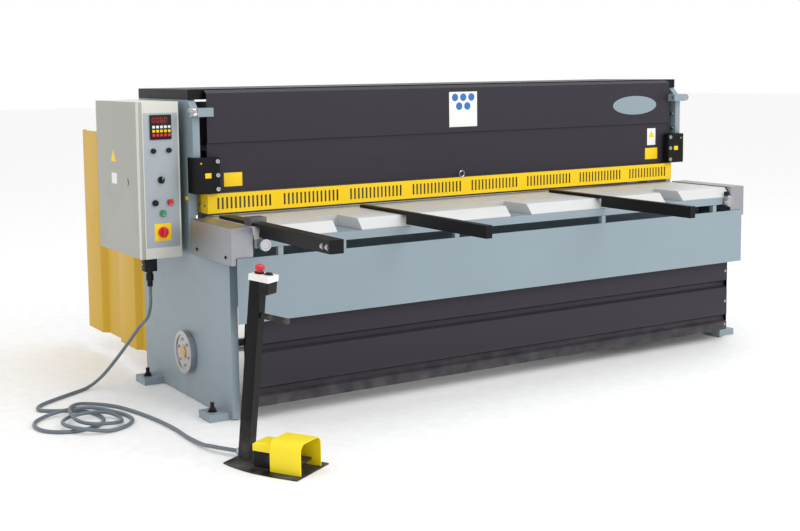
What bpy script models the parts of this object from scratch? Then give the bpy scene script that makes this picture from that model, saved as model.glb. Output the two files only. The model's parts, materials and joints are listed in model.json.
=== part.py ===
"""Power guillotine shear for sheet metal, with its control cabinet and its foot switch on a pedestal.

The machine stands on the floor and its front faces -Y. Heights (Z) are above the floor, and Y is measured
from the front edge of the side frames. An empty called frame_origin carries every piece, and moves the whole
assembly so that the middle of its footprint lies on the world's origin.
"""
import math

import bmesh
import bpy
from mathutils import Matrix, Vector

# ---------------------------------------------------------------- driving dimensions, in metres
GAP = 0.0003              # clearance between pieces that touch
SLIDE_GAP = 0.0015        # clearance beside a piece that slides past another
CIRCLE_STEPS = 24         # facets of a round piece
SMALL_STEPS = 16          # facets of a small round piece

LENGTH = 2.600            # over the two side frames
FRAME_T = 0.030           # thickness of a side frame
HALF = LENGTH / 2
INNER = HALF - FRAME_T     # inner face of a side frame
FRAME_DEPTH = 0.886       # front to back of a side frame
FRAME_TOP = 1.200         # top of the side frames
FRAME_BOTTOM = 0.005      # lower edge of the side frames, carried by the feet
TABLE_Z = 0.735           # working height
BASE_TOP = TABLE_Z - 0.134          # top of the side frames' low front part
PILLAR_Y = 0.312          # front edge of the side frames' high part
PILLAR_CHAMFER = 0.045    # its sloping upper corner
NOTCH_Y = 0.372           # the high part is set back to here below the guide block
FOOT_OUT = 0.086          # how far a foot stands out of its side frame
FOOT_W = 0.104            # width of a foot along Y
FOOT_T = 0.029            # thickness of a foot
FOOT_FRONT_Y = 0.020      # front edge of the front feet
FOOT_REAR_Y = 0.690       # front edge of the rear feet
WELD = 0.010              # how far a welded piece reaches into the one that carries it

TABLE_T = 0.0427          # thickness of the table
TABLE_EDGE_Y = -0.050     # where the table's top meets its front slopes
SLOPE_RUN = 0.035         # how far a front slope runs forward
SLOPE_FOOT = 0.004        # upright edge left under a front slope
RECESS_W = 0.110          # a hand recess, along X
RECESS_BACK_Y = 0.105     # back wall of a hand recess
RECESS_X = (-0.830, 0.000, 0.875)      # middles of the hand recesses
BED_T = 0.032             # thickness of the bed's top plate
BED_FRONT_Y = -0.090      # front face of the bed plate
BED_WEB_T = 0.030         # its rear web, which carries the lower blade
BED_WEB_DROP = 0.250      # how far the webs hang below the bed plate
SIDE_CLEAR = 0.0355       # from a side frame's inner face to the table, which leaves room for the end cover

BLADE_Y = 0.385           # the cutting plane
BLADE_T = 0.025           # thickness of a blade
UPPER_BLADE_H = 0.080     # height of the upper blade at its low end
BLADE_RAKE = 0.030        # rise of the upper blade's edge over its length
BLADE_LENGTH = 2 * (HALF - 0.100)
BLADE_LIFT = 0.0155       # opening between the blades at the low end, with the ram up

STROKE = 0.070            # travel of the ram
RAM_T = 0.040             # thickness of the ram's main plate
RAM_HALF = HALF - 0.065          # half the ram's length
RAM_BOTTOM = TABLE_Z + 0.065
RAM_TOP = FRAME_TOP - 0.010
RAM_FLANGE_T = 0.020
RAM_REAR_FLANGE = 0.148   # reach of the stiffening flange behind the ram
RAM_REAR_FLANGE_Z = TABLE_Z + 0.215
COVER_T = 0.003           # sheet of the covers
LOWER_COVER_Y = 0.328     # front of the ram's lower cover
UPPER_COVER_Y = 0.320     # front of the ram's upper cover, which stands proud
COVER_SPLIT_Z = TABLE_Z + 0.293     # height of the step between them
COVER_BOTTOM_Z = TABLE_Z + 0.098
COVER_TOP_Z = FRAME_TOP + 0.037
COVER_BEVEL = 0.022       # leaning strip along the top of the upper cover
HOLD_Y = 0.338            # front of the hold-down beam
HOLD_T = 0.042
HOLD_H = 0.105
HOLD_TRAVEL = 0.012       # how far the hold-down comes down on the sheet

GUARD_Y = 0.310           # front of the finger guard
GUARD_HALF = HALF - 0.056
GUARD_TOP = TABLE_Z + 0.094
GUARD_BOTTOM = TABLE_Z + 0.016
GUARD_RETURN = 0.105      # depth of its end flanges
SLOT_W = 0.0085           # a viewing slot of the guard
SLOT_H = 0.046
SLOT_PITCH = 0.019
SLOT_COUNT = 14           # slots in a group
GROUP_COUNT = 8
GROUP_PITCH = 0.3128
SLOT_END_MARGIN = 0.042   # plain sheet left at each end of the guard
GUIDE_H = 0.142           # guide blocks that hold the ram's ends
GUIDE_W = 0.100
GUIDE_FRONT_Y = 0.285

CRANK_Y = 0.414
CRANK_Z = 0.189
SHAFT_R = 0.030
SHAFT_CLEAR = 0.0007      # running clearance of the crankshaft in its bearing caps
FRAME_BORE_R = 0.036      # bore in the side frames, clear of the crankshaft
ECCENTRIC_R = 0.070
ECCENTRIC_T = 0.028
ROD_X = HALF - 0.100             # middle of a connecting rod
ROD_T = 0.026
ROD_HALF_W = 0.024
ROD_TOP_Y = 0.4785
ROD_TOP_Z = TABLE_Z + 0.195
ROD_RIM = 0.020           # wall of a rod's big end
CAP_R = 0.087             # bearing cap
CAP_T = 0.022

GEARBOX_X = (0.550, 0.850)
GEARBOX_Y = (0.330, 0.720)
GEARBOX_Z = (0.060, 0.400)
FLYWHEEL_Y = 0.620
FLYWHEEL_Z = 0.300
FLYWHEEL_R = 0.180
FLYWHEEL_T = 0.050
PULLEY_R = 0.060
MOTOR_Y = 0.760
MOTOR_Z = 0.530
MOTOR_R = 0.085
MOTOR_LENGTH = 0.260
BELT_T = 0.006
BELT_W = 0.034
STUB_R = 0.014            # shaft stub of the pulley and of the flywheel
STUB_LENGTH = 0.045
WHEEL_OFFSET = 0.022      # from the gearbox's side to the wheels

GAUGE_HALF = HALF - 0.150        # back gauge beam
GAUGE_Y = 0.520
GAUGE_T = 0.035
GAUGE_TOP = TABLE_Z + 0.025
RAIL_X = 0.400
RAIL_R = 0.018
RAIL_Z = TABLE_Z - 0.115
RAIL_LENGTH = 0.900

APRON_TOP = TABLE_Z - 0.107         # front panel below the table
APRON_BOTTOM = TABLE_Z - 0.351
APRON_T = 0.005
APRON_OUT = 0.008         # the panel is a little wider than the frames
APRON_POST_W = 0.022
APRON_POST_X = (0.170 - HALF, -0.860, -0.330, 0.450, HALF - 0.170)
SKIRT_Y = -0.049          # front of the ribbed lower cover
SKIRT_HALF = HALF - 0.038
SKIRT_BOTTOM = 0.052
SKIRT_TOP = APRON_BOTTOM + 0.046
SKIRT_GROOVE = 0.018      # depth of a pressed groove
SKIRT_GROOVE_H = 0.018
SKIRT_GROOVES = (0.108, 0.273)     # heights of the two grooves
END_COVER_OUT = 0.027     # how far an end cover stands out of its side frame
END_COVER_IN = 0.060      # how far it reaches inward from the frame's outer face
END_COVER_FRONT = -0.083
END_COVER_REAR = 0.300
END_COVER_TOP = TABLE_Z + 0.004
TOP_COVER_FRONT = 0.3505
TOP_COVER_TOP = FRAME_TOP + 0.041

ARM_TOP = TABLE_Z + 0.013
ARM_FRONT = -0.620
ARM_REAR = 0.270
ARM_DEPTH = 0.048         # height of an arm in front of the table
ARM_X = (0.111 - HALF, -0.561, 0.449)    # squaring arm, middle arm and right arm
ARM_W = (0.054, 0.028, 0.028)
ARM_DEEP_Y = -0.088       # where an arm becomes deeper, in front of the table
STOP_L = 0.060            # sliding stop on the squaring arm
STOP_H = 0.018
STOP_Y = 0.000

GAP_SCREW_X = HALF - 0.096       # blade gap screws
GAP_SCREW_Z = TABLE_Z - 0.0615
GAP_SCREW_R = 0.025
GAP_SCREW_HEAD = 0.028
GAP_SCREW_SHANK_R = 0.010
GAP_SCREW_SHANK = 0.030
PIN_Z = FRAME_TOP - 0.048             # lock pins at the ram's top corners
PIN_Y = 0.290
PIN_R = 0.009
PIN_KNOB_R = 0.017
PIN_KNOB_L = 0.030
PIN_BRACKET_W = 0.034
PIN_BRACKET_X = (HALF - 0.074, HALF - 0.008)     # inner and outer end of a pin's bracket

CABINET_X = (-HALF - 0.182, -HALF - 0.031)
CABINET_Y = (0.375, 0.863)
CABINET_Z = (TABLE_Z - 0.152, FRAME_TOP - 0.005)
CABINET_WALL = 0.003
DOOR_T = 0.016
LOCK_R = 0.013
LOCK_Y = 0.510
LOCK_Z = TABLE_Z + 0.143
DISPLAY_W = 0.088
DISPLAY_H = 0.096
DISPLAY_T = 0.008
DISPLAY_X = CABINET_X[0] + 0.074
DISPLAY_Z = CABINET_Z[1] - 0.098
SELECTOR_POS = (CABINET_X[0] + 0.071, TABLE_Z + 0.156)
START_POS = (CABINET_X[0] + 0.075, TABLE_Z + 0.026)
STOP_POS = (CABINET_X[0] + 0.106, TABLE_Z + 0.067)
MAIN_POS = (CABINET_X[0] + 0.073, TABLE_Z - 0.049)
KNOB_R = 0.014
BUTTON_R = 0.011
BUTTON_OUT = 0.012
MAIN_KNOB_R = 0.021
PANEL_FACE = 0.0012       # thickness left for the printed plate under the knobs
CONNECTOR_X = CABINET_X[0] + 0.027
CONNECTOR_Y = 0.412
CONNECTOR_DROP = 0.052
PLUG_R = 0.015
PLUG_DROP = 0.060

FENCE_LENGTH = 0.774      # rear guards beside the outlet
FENCE_Z = (0.095, 1.040)
FENCE_T = 0.003
FENCE_IN = 0.010          # distance of the guard's inner folds from the frame's outer face
FENCE_FOLD = 0.025        # depth of a rib, and the run of its slopes
FENCE_RIBS = 2            # ribs folded into each guard
FENCE_FLAT = 0.050        # flat stretch before the first rib
FENCE_RIB_W = 0.220       # from the start of a rib to the end of its raised face
FENCE_RIB_PITCH = 0.440

PEDESTAL_AT = (-HALF - 0.208, -0.430)     # middle of the pedestal base's rear edge
PEDESTAL_TURN = math.radians(30.0)
BASE_LENGTH = 0.320
BASE_RIGHT = 0.112         # its straight right side
# Its left side: a curve through these places, from the rear to the front.
BASE_LEFT = ((-0.042, 0.0), (-0.058, -0.040), (-0.070, -0.078), (-0.079, -0.115), (-0.085, -0.150),
             (-0.089, -0.227), (-0.087, -BASE_LENGTH))
BASE_T = 0.005
POST_AT = (0.049, -0.031)  # foot of the leaning post on the base
POST_TILT = math.radians(6.0)
POST_HALF_X = 0.019
POST_HALF_Y = 0.0225
POST_LENGTH = 0.620
# What follows is measured from the post's own middle line, and along it.
BOX_HALF = 0.029
BOX_FRONT = -0.058
BOX_H = 0.041
LID_HALF = 0.031
LID_Y = (-0.060, 0.020)
LID_T = 0.021
STOP_HEAD_R = 0.017
STOP_STEM_R = 0.011
STOP_HEAD = (0.013, 0.030) # where its mushroom starts and ends above the lid
STOP_AT_Y = -0.003
PRESS_R = 0.0125
PRESS_OUT = 0.008          # how far the round button stands out of the lid
PRESS_AT_Y = -0.040
STEM_IN = 0.009            # how far both stems reach into the lid
GRIP_R = 0.0105
GRIP_LENGTH = 0.105
GRIP_Z = 0.500
GRIP_GAP = 0.0035          # clearance of the grip from the post
# What follows is measured from the base's own zero again.
SWITCH_X = 0.010          # middle of the foot switch, across the base
SWITCH_HALF = 0.042
SWITCH_Y = (-0.205, -0.115)
SWITCH_TOP = 0.060
HOOD_HALF = 0.064
HOOD_Y = (-0.314, -0.195)
HOOD_TOP = 0.110
HOOD_CORNER = 0.028
HOOD_T = 0.003
HOOD_CAP_TOP = 0.084
PEDAL_HALF = 0.042
PEDAL_Y = (-0.292, -0.2075)
PEDAL_Z = (0.030, 0.040)
GLAND_R = 0.0115
GLAND_L = 0.016
GLAND_Z = 0.019

CABLE_D = 0.014
CABLE_POINTS = 80
# The cable's route, chosen by hand: x, y and z of its middle line from below the cabinet to the pedestal.
# x is counted from the left side frame's outer face.
CABLE_ROUTE = (
    (-0.154, 0.428, 0.3720), (-0.151, 0.472, 0.3300), (-0.155, 0.545, 0.2850), (-0.172, 0.635, 0.2050),
    (-0.202, 0.715, 0.1200), (-0.245, 0.765, 0.0480), (-0.305, 0.765, 0.0105), (-0.390, 0.715, 0.0074),
    (-0.485, 0.655, 0.0074), (-0.556, 0.600, 0.0074), (-0.576, 0.540, 0.0074), (-0.532, 0.496, 0.0074),
    (-0.472, 0.462, 0.0074), (-0.422, 0.400, 0.0074), (-0.404, 0.320, 0.0074), (-0.422, 0.240, 0.0074),
    (-0.490, 0.186, 0.0074), (-0.572, 0.186, 0.0074), (-0.636, 0.236, 0.0074), (-0.656, 0.312, 0.0074),
    (-0.634, 0.386, 0.0074), (-0.572, 0.430, 0.0120), (-0.492, 0.432, 0.0215), (-0.415, 0.405, 0.0230),
    (-0.352, 0.355, 0.0120), (-0.317, 0.285, 0.0074), (-0.320, 0.205, 0.0074), (-0.370, 0.140, 0.0074),
    (-0.445, 0.112, 0.0090), (-0.520, 0.135, 0.0200), (-0.566, 0.200, 0.0230), (-0.566, 0.275, 0.0200),
    (-0.524, 0.332, 0.0190), (-0.455, 0.345, 0.0215), (-0.390, 0.318, 0.0225), (-0.355, 0.262, 0.0130),
    (-0.366, 0.198, 0.0110), (-0.420, 0.164, 0.0200), (-0.482, 0.180, 0.0240), (-0.517, 0.240, 0.0260),
    (-0.520, 0.318, 0.0350), (-0.498, 0.396, 0.0370), (-0.445, 0.462, 0.0290), (-0.372, 0.478, 0.0140),
    (-0.312, 0.430, 0.0076), (-0.283, 0.350, 0.0074), (-0.260, 0.250, 0.0074), (-0.242, 0.130, 0.0074),
    (-0.232, 0.000, 0.0074), (-0.234, -0.130, 0.0076), (-0.230, -0.245, 0.0120), (-0.222, -0.298, 0.0180),
)
CABLE_DROPS = (0.0, 0.030, 0.058)  # heights below the plug at which the cable still hangs straight

# ---------------------------------------------------------------- worked out from the above
TABLE_HALF = INNER - SIDE_CLEAR
BED_TOP = TABLE_Z - TABLE_T - GAP
TABLE_FRONT = TABLE_EDGE_Y - SLOPE_RUN
CRANK_THROW = STROKE / 2
GUIDE_TOP = COVER_BOTTOM_Z + GUIDE_H
WHEEL_X = GEARBOX_X[1] + WHEEL_OFFSET + FLYWHEEL_T / 2
LID_TOP = POST_LENGTH + GAP + LID_T
# The open big end of a rod has to clear the eccentric, whose height isn't proportional to its angle.
LAG = 0.2105 * CRANK_THROW + SLIDE_GAP

# ---------------------------------------------------------------- a clean scene and its collections
for leftover in list(bpy.data.objects):
    bpy.data.objects.remove(leftover, do_unlink=True)


def new_collection(name):
    """A collection linked to the scene."""
    made = bpy.data.collections.new(name)
    bpy.context.scene.collection.children.link(made)
    return made


parts = new_collection("guillotine_shear")
cutters = new_collection("cutters")


def material(name, colour, metallic, roughness):
    """A Principled material with one colour."""
    made = bpy.data.materials.new(name)
    made.use_nodes = True
    shader = made.node_tree.nodes["Principled BSDF"]
    shader.inputs["Base Color"].default_value = (*colour, 1.0)
    shader.inputs["Metallic"].default_value = metallic
    shader.inputs["Roughness"].default_value = roughness
    return made


PALE_BLUE = material("pale_blue_paint", (0.36, 0.46, 0.52), 0.0, 0.45)
CHARCOAL = material("charcoal_paint", (0.045, 0.040, 0.050), 0.0, 0.50)
BLACK = material("black_paint", (0.012, 0.012, 0.014), 0.0, 0.45)
YELLOW = material("yellow_paint", (0.90, 0.56, 0.02), 0.0, 0.40)
OCHRE = material("ochre_paint", (0.55, 0.33, 0.02), 0.0, 0.45)
CREAM = material("cream_paint", (0.72, 0.71, 0.62), 0.0, 0.50)
DOOR_GREY = material("door_paint", (0.38, 0.37, 0.34), 0.0, 0.50)
GROUND = material("ground_steel", (0.62, 0.62, 0.62), 1.0, 0.25)
BRUSHED = material("brushed_steel", (0.45, 0.45, 0.46), 1.0, 0.35)
FORGED = material("forged_steel", (0.16, 0.16, 0.17), 1.0, 0.50)
CHROME = material("chrome", (0.75, 0.75, 0.76), 1.0, 0.10)
RUBBER = material("black_rubber", (0.02, 0.02, 0.02), 0.0, 0.80)
PLASTIC = material("black_plastic", (0.015, 0.015, 0.016), 0.0, 0.40)
WHITE = material("white_plastic", (0.78, 0.78, 0.76), 0.0, 0.40)
RED = material("red_plastic", (0.55, 0.02, 0.03), 0.0, 0.35)
GREEN = material("green_plastic", (0.02, 0.35, 0.10), 0.0, 0.35)
GREY_SHEATH = material("grey_cable_sheath", (0.16, 0.18, 0.21), 0.0, 0.55)


def empty(name, location, parent=None, turn=0.0, lean=0.0):
    """A carrier for pieces: location in its parent's space, turned about Z or leaning towards -Y."""
    made = bpy.data.objects.new(name, None)
    parts.objects.link(made)
    made.parent = parent
    made.location = location
    made.rotation_euler = (lean, 0.0, turn)
    return made


def turned(point):
    """A point of the pedestal's own plan, in the machine's plan."""
    cos_turn, sin_turn = math.cos(PEDESTAL_TURN), math.sin(PEDESTAL_TURN)
    return (PEDESTAL_AT[0] + point[0] * cos_turn - point[1] * sin_turn,
            PEDESTAL_AT[1] + point[0] * sin_turn + point[1] * cos_turn)


base_outline = [*BASE_LEFT, (BASE_RIGHT, -BASE_LENGTH), (BASE_RIGHT, 0.0)]
corner_plan = [turned(corner) for corner in base_outline]
WEST = min(min(x for x, y in corner_plan), CABINET_X[0] - GAP - DOOR_T)
EAST = HALF + FOOT_OUT
SOUTH = min(min(y for x, y in corner_plan), ARM_FRONT)
NORTH = FRAME_DEPTH + GAP + FENCE_LENGTH

frame_origin = empty("frame_origin", (-(WEST + EAST) / 2, -(SOUTH + NORTH) / 2, 0.0))
pedestal = empty("pedestal_carrier", (*PEDESTAL_AT, 0.0), frame_origin, PEDESTAL_TURN)
post = empty("post_carrier", (*POST_AT, BASE_T / 2), pedestal, lean=POST_TILT)


# ---------------------------------------------------------------- shapes
def finish(name, bm, mat, parent, pivot=(0.0, 0.0, 0.0), smooth=False):
    """Turn a bmesh in the parent's space into a named object whose origin is at pivot."""
    bmesh.ops.translate(bm, vec=-Vector(pivot), verts=bm.verts)
    mesh = bpy.data.meshes.new(name)
    bm.to_mesh(mesh)
    bm.free()
    if mat is not None:
        mesh.materials.append(mat)
    if smooth:
        mesh.shade_smooth()
        mesh.set_sharp_from_angle(angle=math.radians(40))
    made = bpy.data.objects.new(name, mesh)
    (cutters if mat is None else parts).objects.link(made)
    made.parent = parent
    made.location = pivot
    if mat is None:
        made.hide_render = True
        made.display_type = "WIRE"
    return made


def add_box(bm, x, y, z):
    """Add a box between two values on each axis."""
    low = Vector((min(x), min(y), min(z)))
    high = Vector((max(x), max(y), max(z)))
    place = Matrix.Translation((low + high) / 2) @ Matrix.Diagonal((*(high - low), 1.0))
    bmesh.ops.create_cube(bm, size=1.0, matrix=place)


def box(name, x, y, z, mat, parent=frame_origin, pivot=(0.0, 0.0, 0.0)):
    """A block between two values on each axis."""
    bm = bmesh.new()
    add_box(bm, x, y, z)
    return finish(name, bm, mat, parent, pivot)


AXES = {"X": Matrix(((0, 0, 1, 0), (1, 0, 0, 0), (0, 1, 0, 0), (0, 0, 0, 1))),
        "Y": Matrix(((1, 0, 0, 0), (0, 0, -1, 0), (0, 1, 0, 0), (0, 0, 0, 1))),
        "Z": Matrix.Identity(4)}


def add_drum(bm, axis, centre, radius, span, steps=CIRCLE_STEPS):
    """Add a cylinder along an axis. centre is its place on the other two axes, span its two ends."""
    if axis == "X":
        middle = Vector(((span[0] + span[1]) / 2, centre[0], centre[1]))
    elif axis == "Y":
        middle = Vector((centre[0], (span[0] + span[1]) / 2, centre[1]))
    else:
        middle = Vector((centre[0], centre[1], (span[0] + span[1]) / 2))
    bmesh.ops.create_cone(bm, cap_ends=True, segments=steps, radius1=radius, radius2=radius,
                          depth=abs(span[1] - span[0]), matrix=Matrix.Translation(middle) @ AXES[axis])


def drum(name, axis, centre, radius, span, mat, parent=frame_origin, pivot=(0.0, 0.0, 0.0),
         steps=CIRCLE_STEPS):
    """A cylinder along an axis."""
    bm = bmesh.new()
    add_drum(bm, axis, centre, radius, span, steps)
    return finish(name, bm, mat, parent, pivot, smooth=mat is not None)


def flat(name, outlines, axis, span, mat, parent=frame_origin, pivot=(0.0, 0.0, 0.0)):
    """An outline with a thickness: a filled 2D curve, extruded from span[0] to span[1] along the axis.

    An outline's points are (y, z) for axis X, (x, z) for Y and (x, y) for Z. A second outline is a hole.
    """
    curve = bpy.data.curves.new(name + "_outline", "CURVE")
    curve.dimensions = "2D"
    curve.fill_mode = "BOTH"
    curve.extrude = abs(span[1] - span[0]) / 2
    for outline in outlines:
        spline = curve.splines.new("POLY")
        spline.points.add(len(outline) - 1)
        spline.use_cyclic_u = True
        for point, (first, second) in zip(spline.points, outline):
            point.co = (first, second, 0.0, 1.0)
    drawn = bpy.data.objects.new(name + "_outline", curve)
    parts.objects.link(drawn)
    middle = (span[0] + span[1]) / 2
    shift = {"X": (middle, 0, 0), "Y": (0, middle, 0), "Z": (0, 0, middle)}[axis]
    drawn.matrix_world = Matrix.Translation(shift) @ AXES[axis]
    bpy.context.view_layer.update()
    seen = drawn.evaluated_get(bpy.context.evaluated_depsgraph_get())
    mesh = bpy.data.meshes.new_from_object(seen)
    bm = bmesh.new()
    bm.from_mesh(mesh)
    bmesh.ops.transform(bm, matrix=drawn.matrix_world, verts=bm.verts)
    bmesh.ops.remove_doubles(bm, verts=bm.verts, dist=0.00001)
    bmesh.ops.recalc_face_normals(bm, faces=bm.faces)
    bpy.data.objects.remove(drawn, do_unlink=True)
    bpy.data.meshes.remove(mesh)
    return finish(name, bm, mat, parent, pivot)


def combine(target, other, operation):
    """Cut another object out of the target, or weld it on."""
    step = target.modifiers.new(other.name, "BOOLEAN")
    step.operation = operation
    step.object = other
    step.solver = "EXACT"


def cut(target, cutter):
    combine(target, cutter, "DIFFERENCE")


def weld(target, other):
    combine(target, other, "UNION")


def mirrored(outline):
    """The same outline on the other side, in the same sense round."""
    return [(-first, second) for first, second in reversed(outline)]


def arc(centre, radius, start, end, steps):
    """Points on a round stretch, angles in degrees."""
    return [(centre[0] + radius * math.cos(math.radians(start + (end - start) * k / steps)),
             centre[1] + radius * math.sin(math.radians(start + (end - start) * k / steps)))
            for k in range(steps + 1)]


SIDES = (("left", -1), ("right", 1))


# ---------------------------------------------------------------- side frames, bed and table
def make_side_frame(side, sign):
    """A thick plate with a low front part, a high rear part and two welded feet."""
    outline = ((0.0, FRAME_BOTTOM), (FRAME_DEPTH, FRAME_BOTTOM), (FRAME_DEPTH, FRAME_TOP),
               (PILLAR_Y + PILLAR_CHAMFER, FRAME_TOP), (PILLAR_Y, FRAME_TOP - PILLAR_CHAMFER),
               (PILLAR_Y, GUIDE_TOP + GAP), (NOTCH_Y, GUIDE_TOP + GAP), (NOTCH_Y, BASE_TOP), (0.0, BASE_TOP))
    plate = flat("side_frame_" + side, [outline], "X", (sign * INNER, sign * HALF), PALE_BLUE)
    for place, y in (("front", FOOT_FRONT_Y), ("rear", FOOT_REAR_Y)):
        foot = box("foot_weld_%s_%s" % (side, place), (sign * (HALF - WELD), sign * (HALF + FOOT_OUT)),
                   (y, y + FOOT_W), (0.0, FOOT_T), None)
        weld(plate, foot)
    bracket = box("pin_bracket_weld_" + side, (sign * PIN_BRACKET_X[0], sign * PIN_BRACKET_X[1]),
                  (PIN_Y - PIN_BRACKET_W / 2, UPPER_COVER_Y - SLIDE_GAP),
                  (PIN_Z - PIN_BRACKET_W / 2, PIN_Z + PIN_BRACKET_W / 2), None)
    weld(plate, bracket)
    cut(plate, drum("pin_hole_" + side, "X", (PIN_Y, PIN_Z), PIN_R + SHAFT_CLEAR,
                    (sign * (PIN_BRACKET_X[0] - WELD), sign * (PIN_BRACKET_X[1] + WELD)), None,
                    steps=SMALL_STEPS))
    cut(plate, drum("frame_bore_" + side, "X", (CRANK_Y, CRANK_Z), FRAME_BORE_R,
                    (sign * (INNER - WELD), sign * (HALF + WELD)), None))


def make_bed():
    """The bed: a thick top plate with two hanging webs, and a cross bar that reaches both side frames."""
    bottom = BED_TOP - BED_T
    web_bottom = bottom - BED_WEB_DROP
    front_web = GUARD_Y - 0.200
    outline = ((BED_FRONT_Y, bottom), (front_web, bottom), (front_web, web_bottom),
               (front_web + BED_WEB_T / 2, web_bottom), (front_web + BED_WEB_T / 2, bottom),
               (BLADE_Y - BED_WEB_T, bottom), (BLADE_Y - BED_WEB_T, web_bottom), (BLADE_Y, web_bottom),
               (BLADE_Y, BED_TOP), (BED_FRONT_Y, BED_TOP))
    bed = flat("bed", [outline], "X", (-TABLE_HALF, TABLE_HALF), PALE_BLUE)
    bar = box("bed_bar_weld", (-INNER + GAP, INNER - GAP), (BLADE_Y - 2 * BED_WEB_T, BLADE_Y - WELD),
              (web_bottom + WELD, BASE_TOP - SLIDE_GAP), None)
    weld(bed, bar)
    for side, sign in SIDES:
        hole = drum("gap_screw_hole_" + side, "Y", (sign * GAP_SCREW_X, GAP_SCREW_Z),
                    GAP_SCREW_SHANK_R + SHAFT_CLEAR, (BED_FRONT_Y - WELD,
                                                      BED_FRONT_Y + GAP_SCREW_SHANK + GAP),
                    None, steps=SMALL_STEPS)
        cut(bed, hole)


def make_table():
    """The ground table: sloping front edge, and three recesses that let a hand reach under the sheet."""
    bottom = TABLE_Z - TABLE_T
    outline = ((TABLE_FRONT, bottom), (BLADE_Y - BLADE_T - GAP, bottom), (BLADE_Y - BLADE_T - GAP, TABLE_Z),
               (TABLE_EDGE_Y, TABLE_Z), (TABLE_FRONT, bottom + SLOPE_FOOT))
    table = flat("table", [outline], "X", (-TABLE_HALF, TABLE_HALF), GROUND)
    bm = bmesh.new()
    for x in RECESS_X:
        add_box(bm, (x - RECESS_W / 2, x + RECESS_W / 2), (TABLE_FRONT - WELD, RECESS_BACK_Y),
                (bottom - WELD, TABLE_Z + WELD))
    cut(table, finish("recess_cutter", bm, None, frame_origin))


def make_blades():
    """Two long blades that pass each other in the cutting plane; the upper one is raked."""
    box("lower_blade", (-BLADE_LENGTH / 2, BLADE_LENGTH / 2), (BLADE_Y - BLADE_T, BLADE_Y),
        (BED_TOP + GAP, TABLE_Z), BRUSHED)
    low = TABLE_Z + BLADE_LIFT
    outline = ((-BLADE_LENGTH / 2, low), (BLADE_LENGTH / 2, low + BLADE_RAKE),
               (BLADE_LENGTH / 2, low + UPPER_BLADE_H), (-BLADE_LENGTH / 2, low + UPPER_BLADE_H))
    flat("upper_blade", [outline], "Y", (BLADE_Y + GAP, BLADE_Y + BLADE_T), BRUSHED)


# ---------------------------------------------------------------- ram, hold-down and guard
def make_ram():
    """The ram: a deep plate behind the upper blade, flanges that carry its covers, and a rear stiffener."""
    front = BLADE_Y + BLADE_T + GAP
    back = front + RAM_T
    lower_seat = LOWER_COVER_Y + COVER_T + GAP
    upper_seat = UPPER_COVER_Y + COVER_T + GAP
    rib = COVER_SPLIT_Z - RAM_FLANGE_T / 2
    outline = ((front, RAM_BOTTOM), (back, RAM_BOTTOM), (back, RAM_REAR_FLANGE_Z),
               (back + RAM_REAR_FLANGE, RAM_REAR_FLANGE_Z),
               (back + RAM_REAR_FLANGE, RAM_REAR_FLANGE_Z + RAM_FLANGE_T),
               (back, RAM_REAR_FLANGE_Z + RAM_FLANGE_T), (back, RAM_TOP), (upper_seat, RAM_TOP),
               (upper_seat, RAM_TOP - RAM_FLANGE_T), (front, RAM_TOP - RAM_FLANGE_T),
               (front, rib), (lower_seat, rib), (lower_seat, rib - RAM_FLANGE_T), (front, rib - RAM_FLANGE_T))
    flat("ram_beam", [outline], "X", (-RAM_HALF, RAM_HALF), CHARCOAL)


def make_ram_covers():
    """Two sheets across the front of the ram; the upper one stands proud and leans back along its top."""
    box("ram_lower_cover", (-RAM_HALF, RAM_HALF), (LOWER_COVER_Y, LOWER_COVER_Y + COVER_T),
        (COVER_BOTTOM_Z, COVER_SPLIT_Z - GAP), CHARCOAL)
    front, back = UPPER_COVER_Y, UPPER_COVER_Y + COVER_T
    knee = COVER_TOP_Z - COVER_BEVEL * 0.7
    outline = ((front, COVER_SPLIT_Z), (LOWER_COVER_Y + COVER_T, COVER_SPLIT_Z),
               (LOWER_COVER_Y + COVER_T, COVER_SPLIT_Z + COVER_T), (back, COVER_SPLIT_Z + COVER_T),
               (back, knee), (back + COVER_BEVEL, COVER_TOP_Z - COVER_T),
               (back + COVER_BEVEL, COVER_TOP_Z), (front, knee + COVER_T))
    flat("ram_upper_cover", [outline], "X", (-RAM_HALF, RAM_HALF), CHARCOAL)


def make_hold_down():
    """The hold-down beam, which clamps the sheet before the blades meet."""
    bottom = TABLE_Z + HOLD_TRAVEL + GAP * 2
    box("hold_down_beam", (-RAM_HALF + WELD, RAM_HALF - WELD), (HOLD_Y, HOLD_Y + HOLD_T),
        (bottom, bottom + HOLD_H), FORGED)


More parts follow.
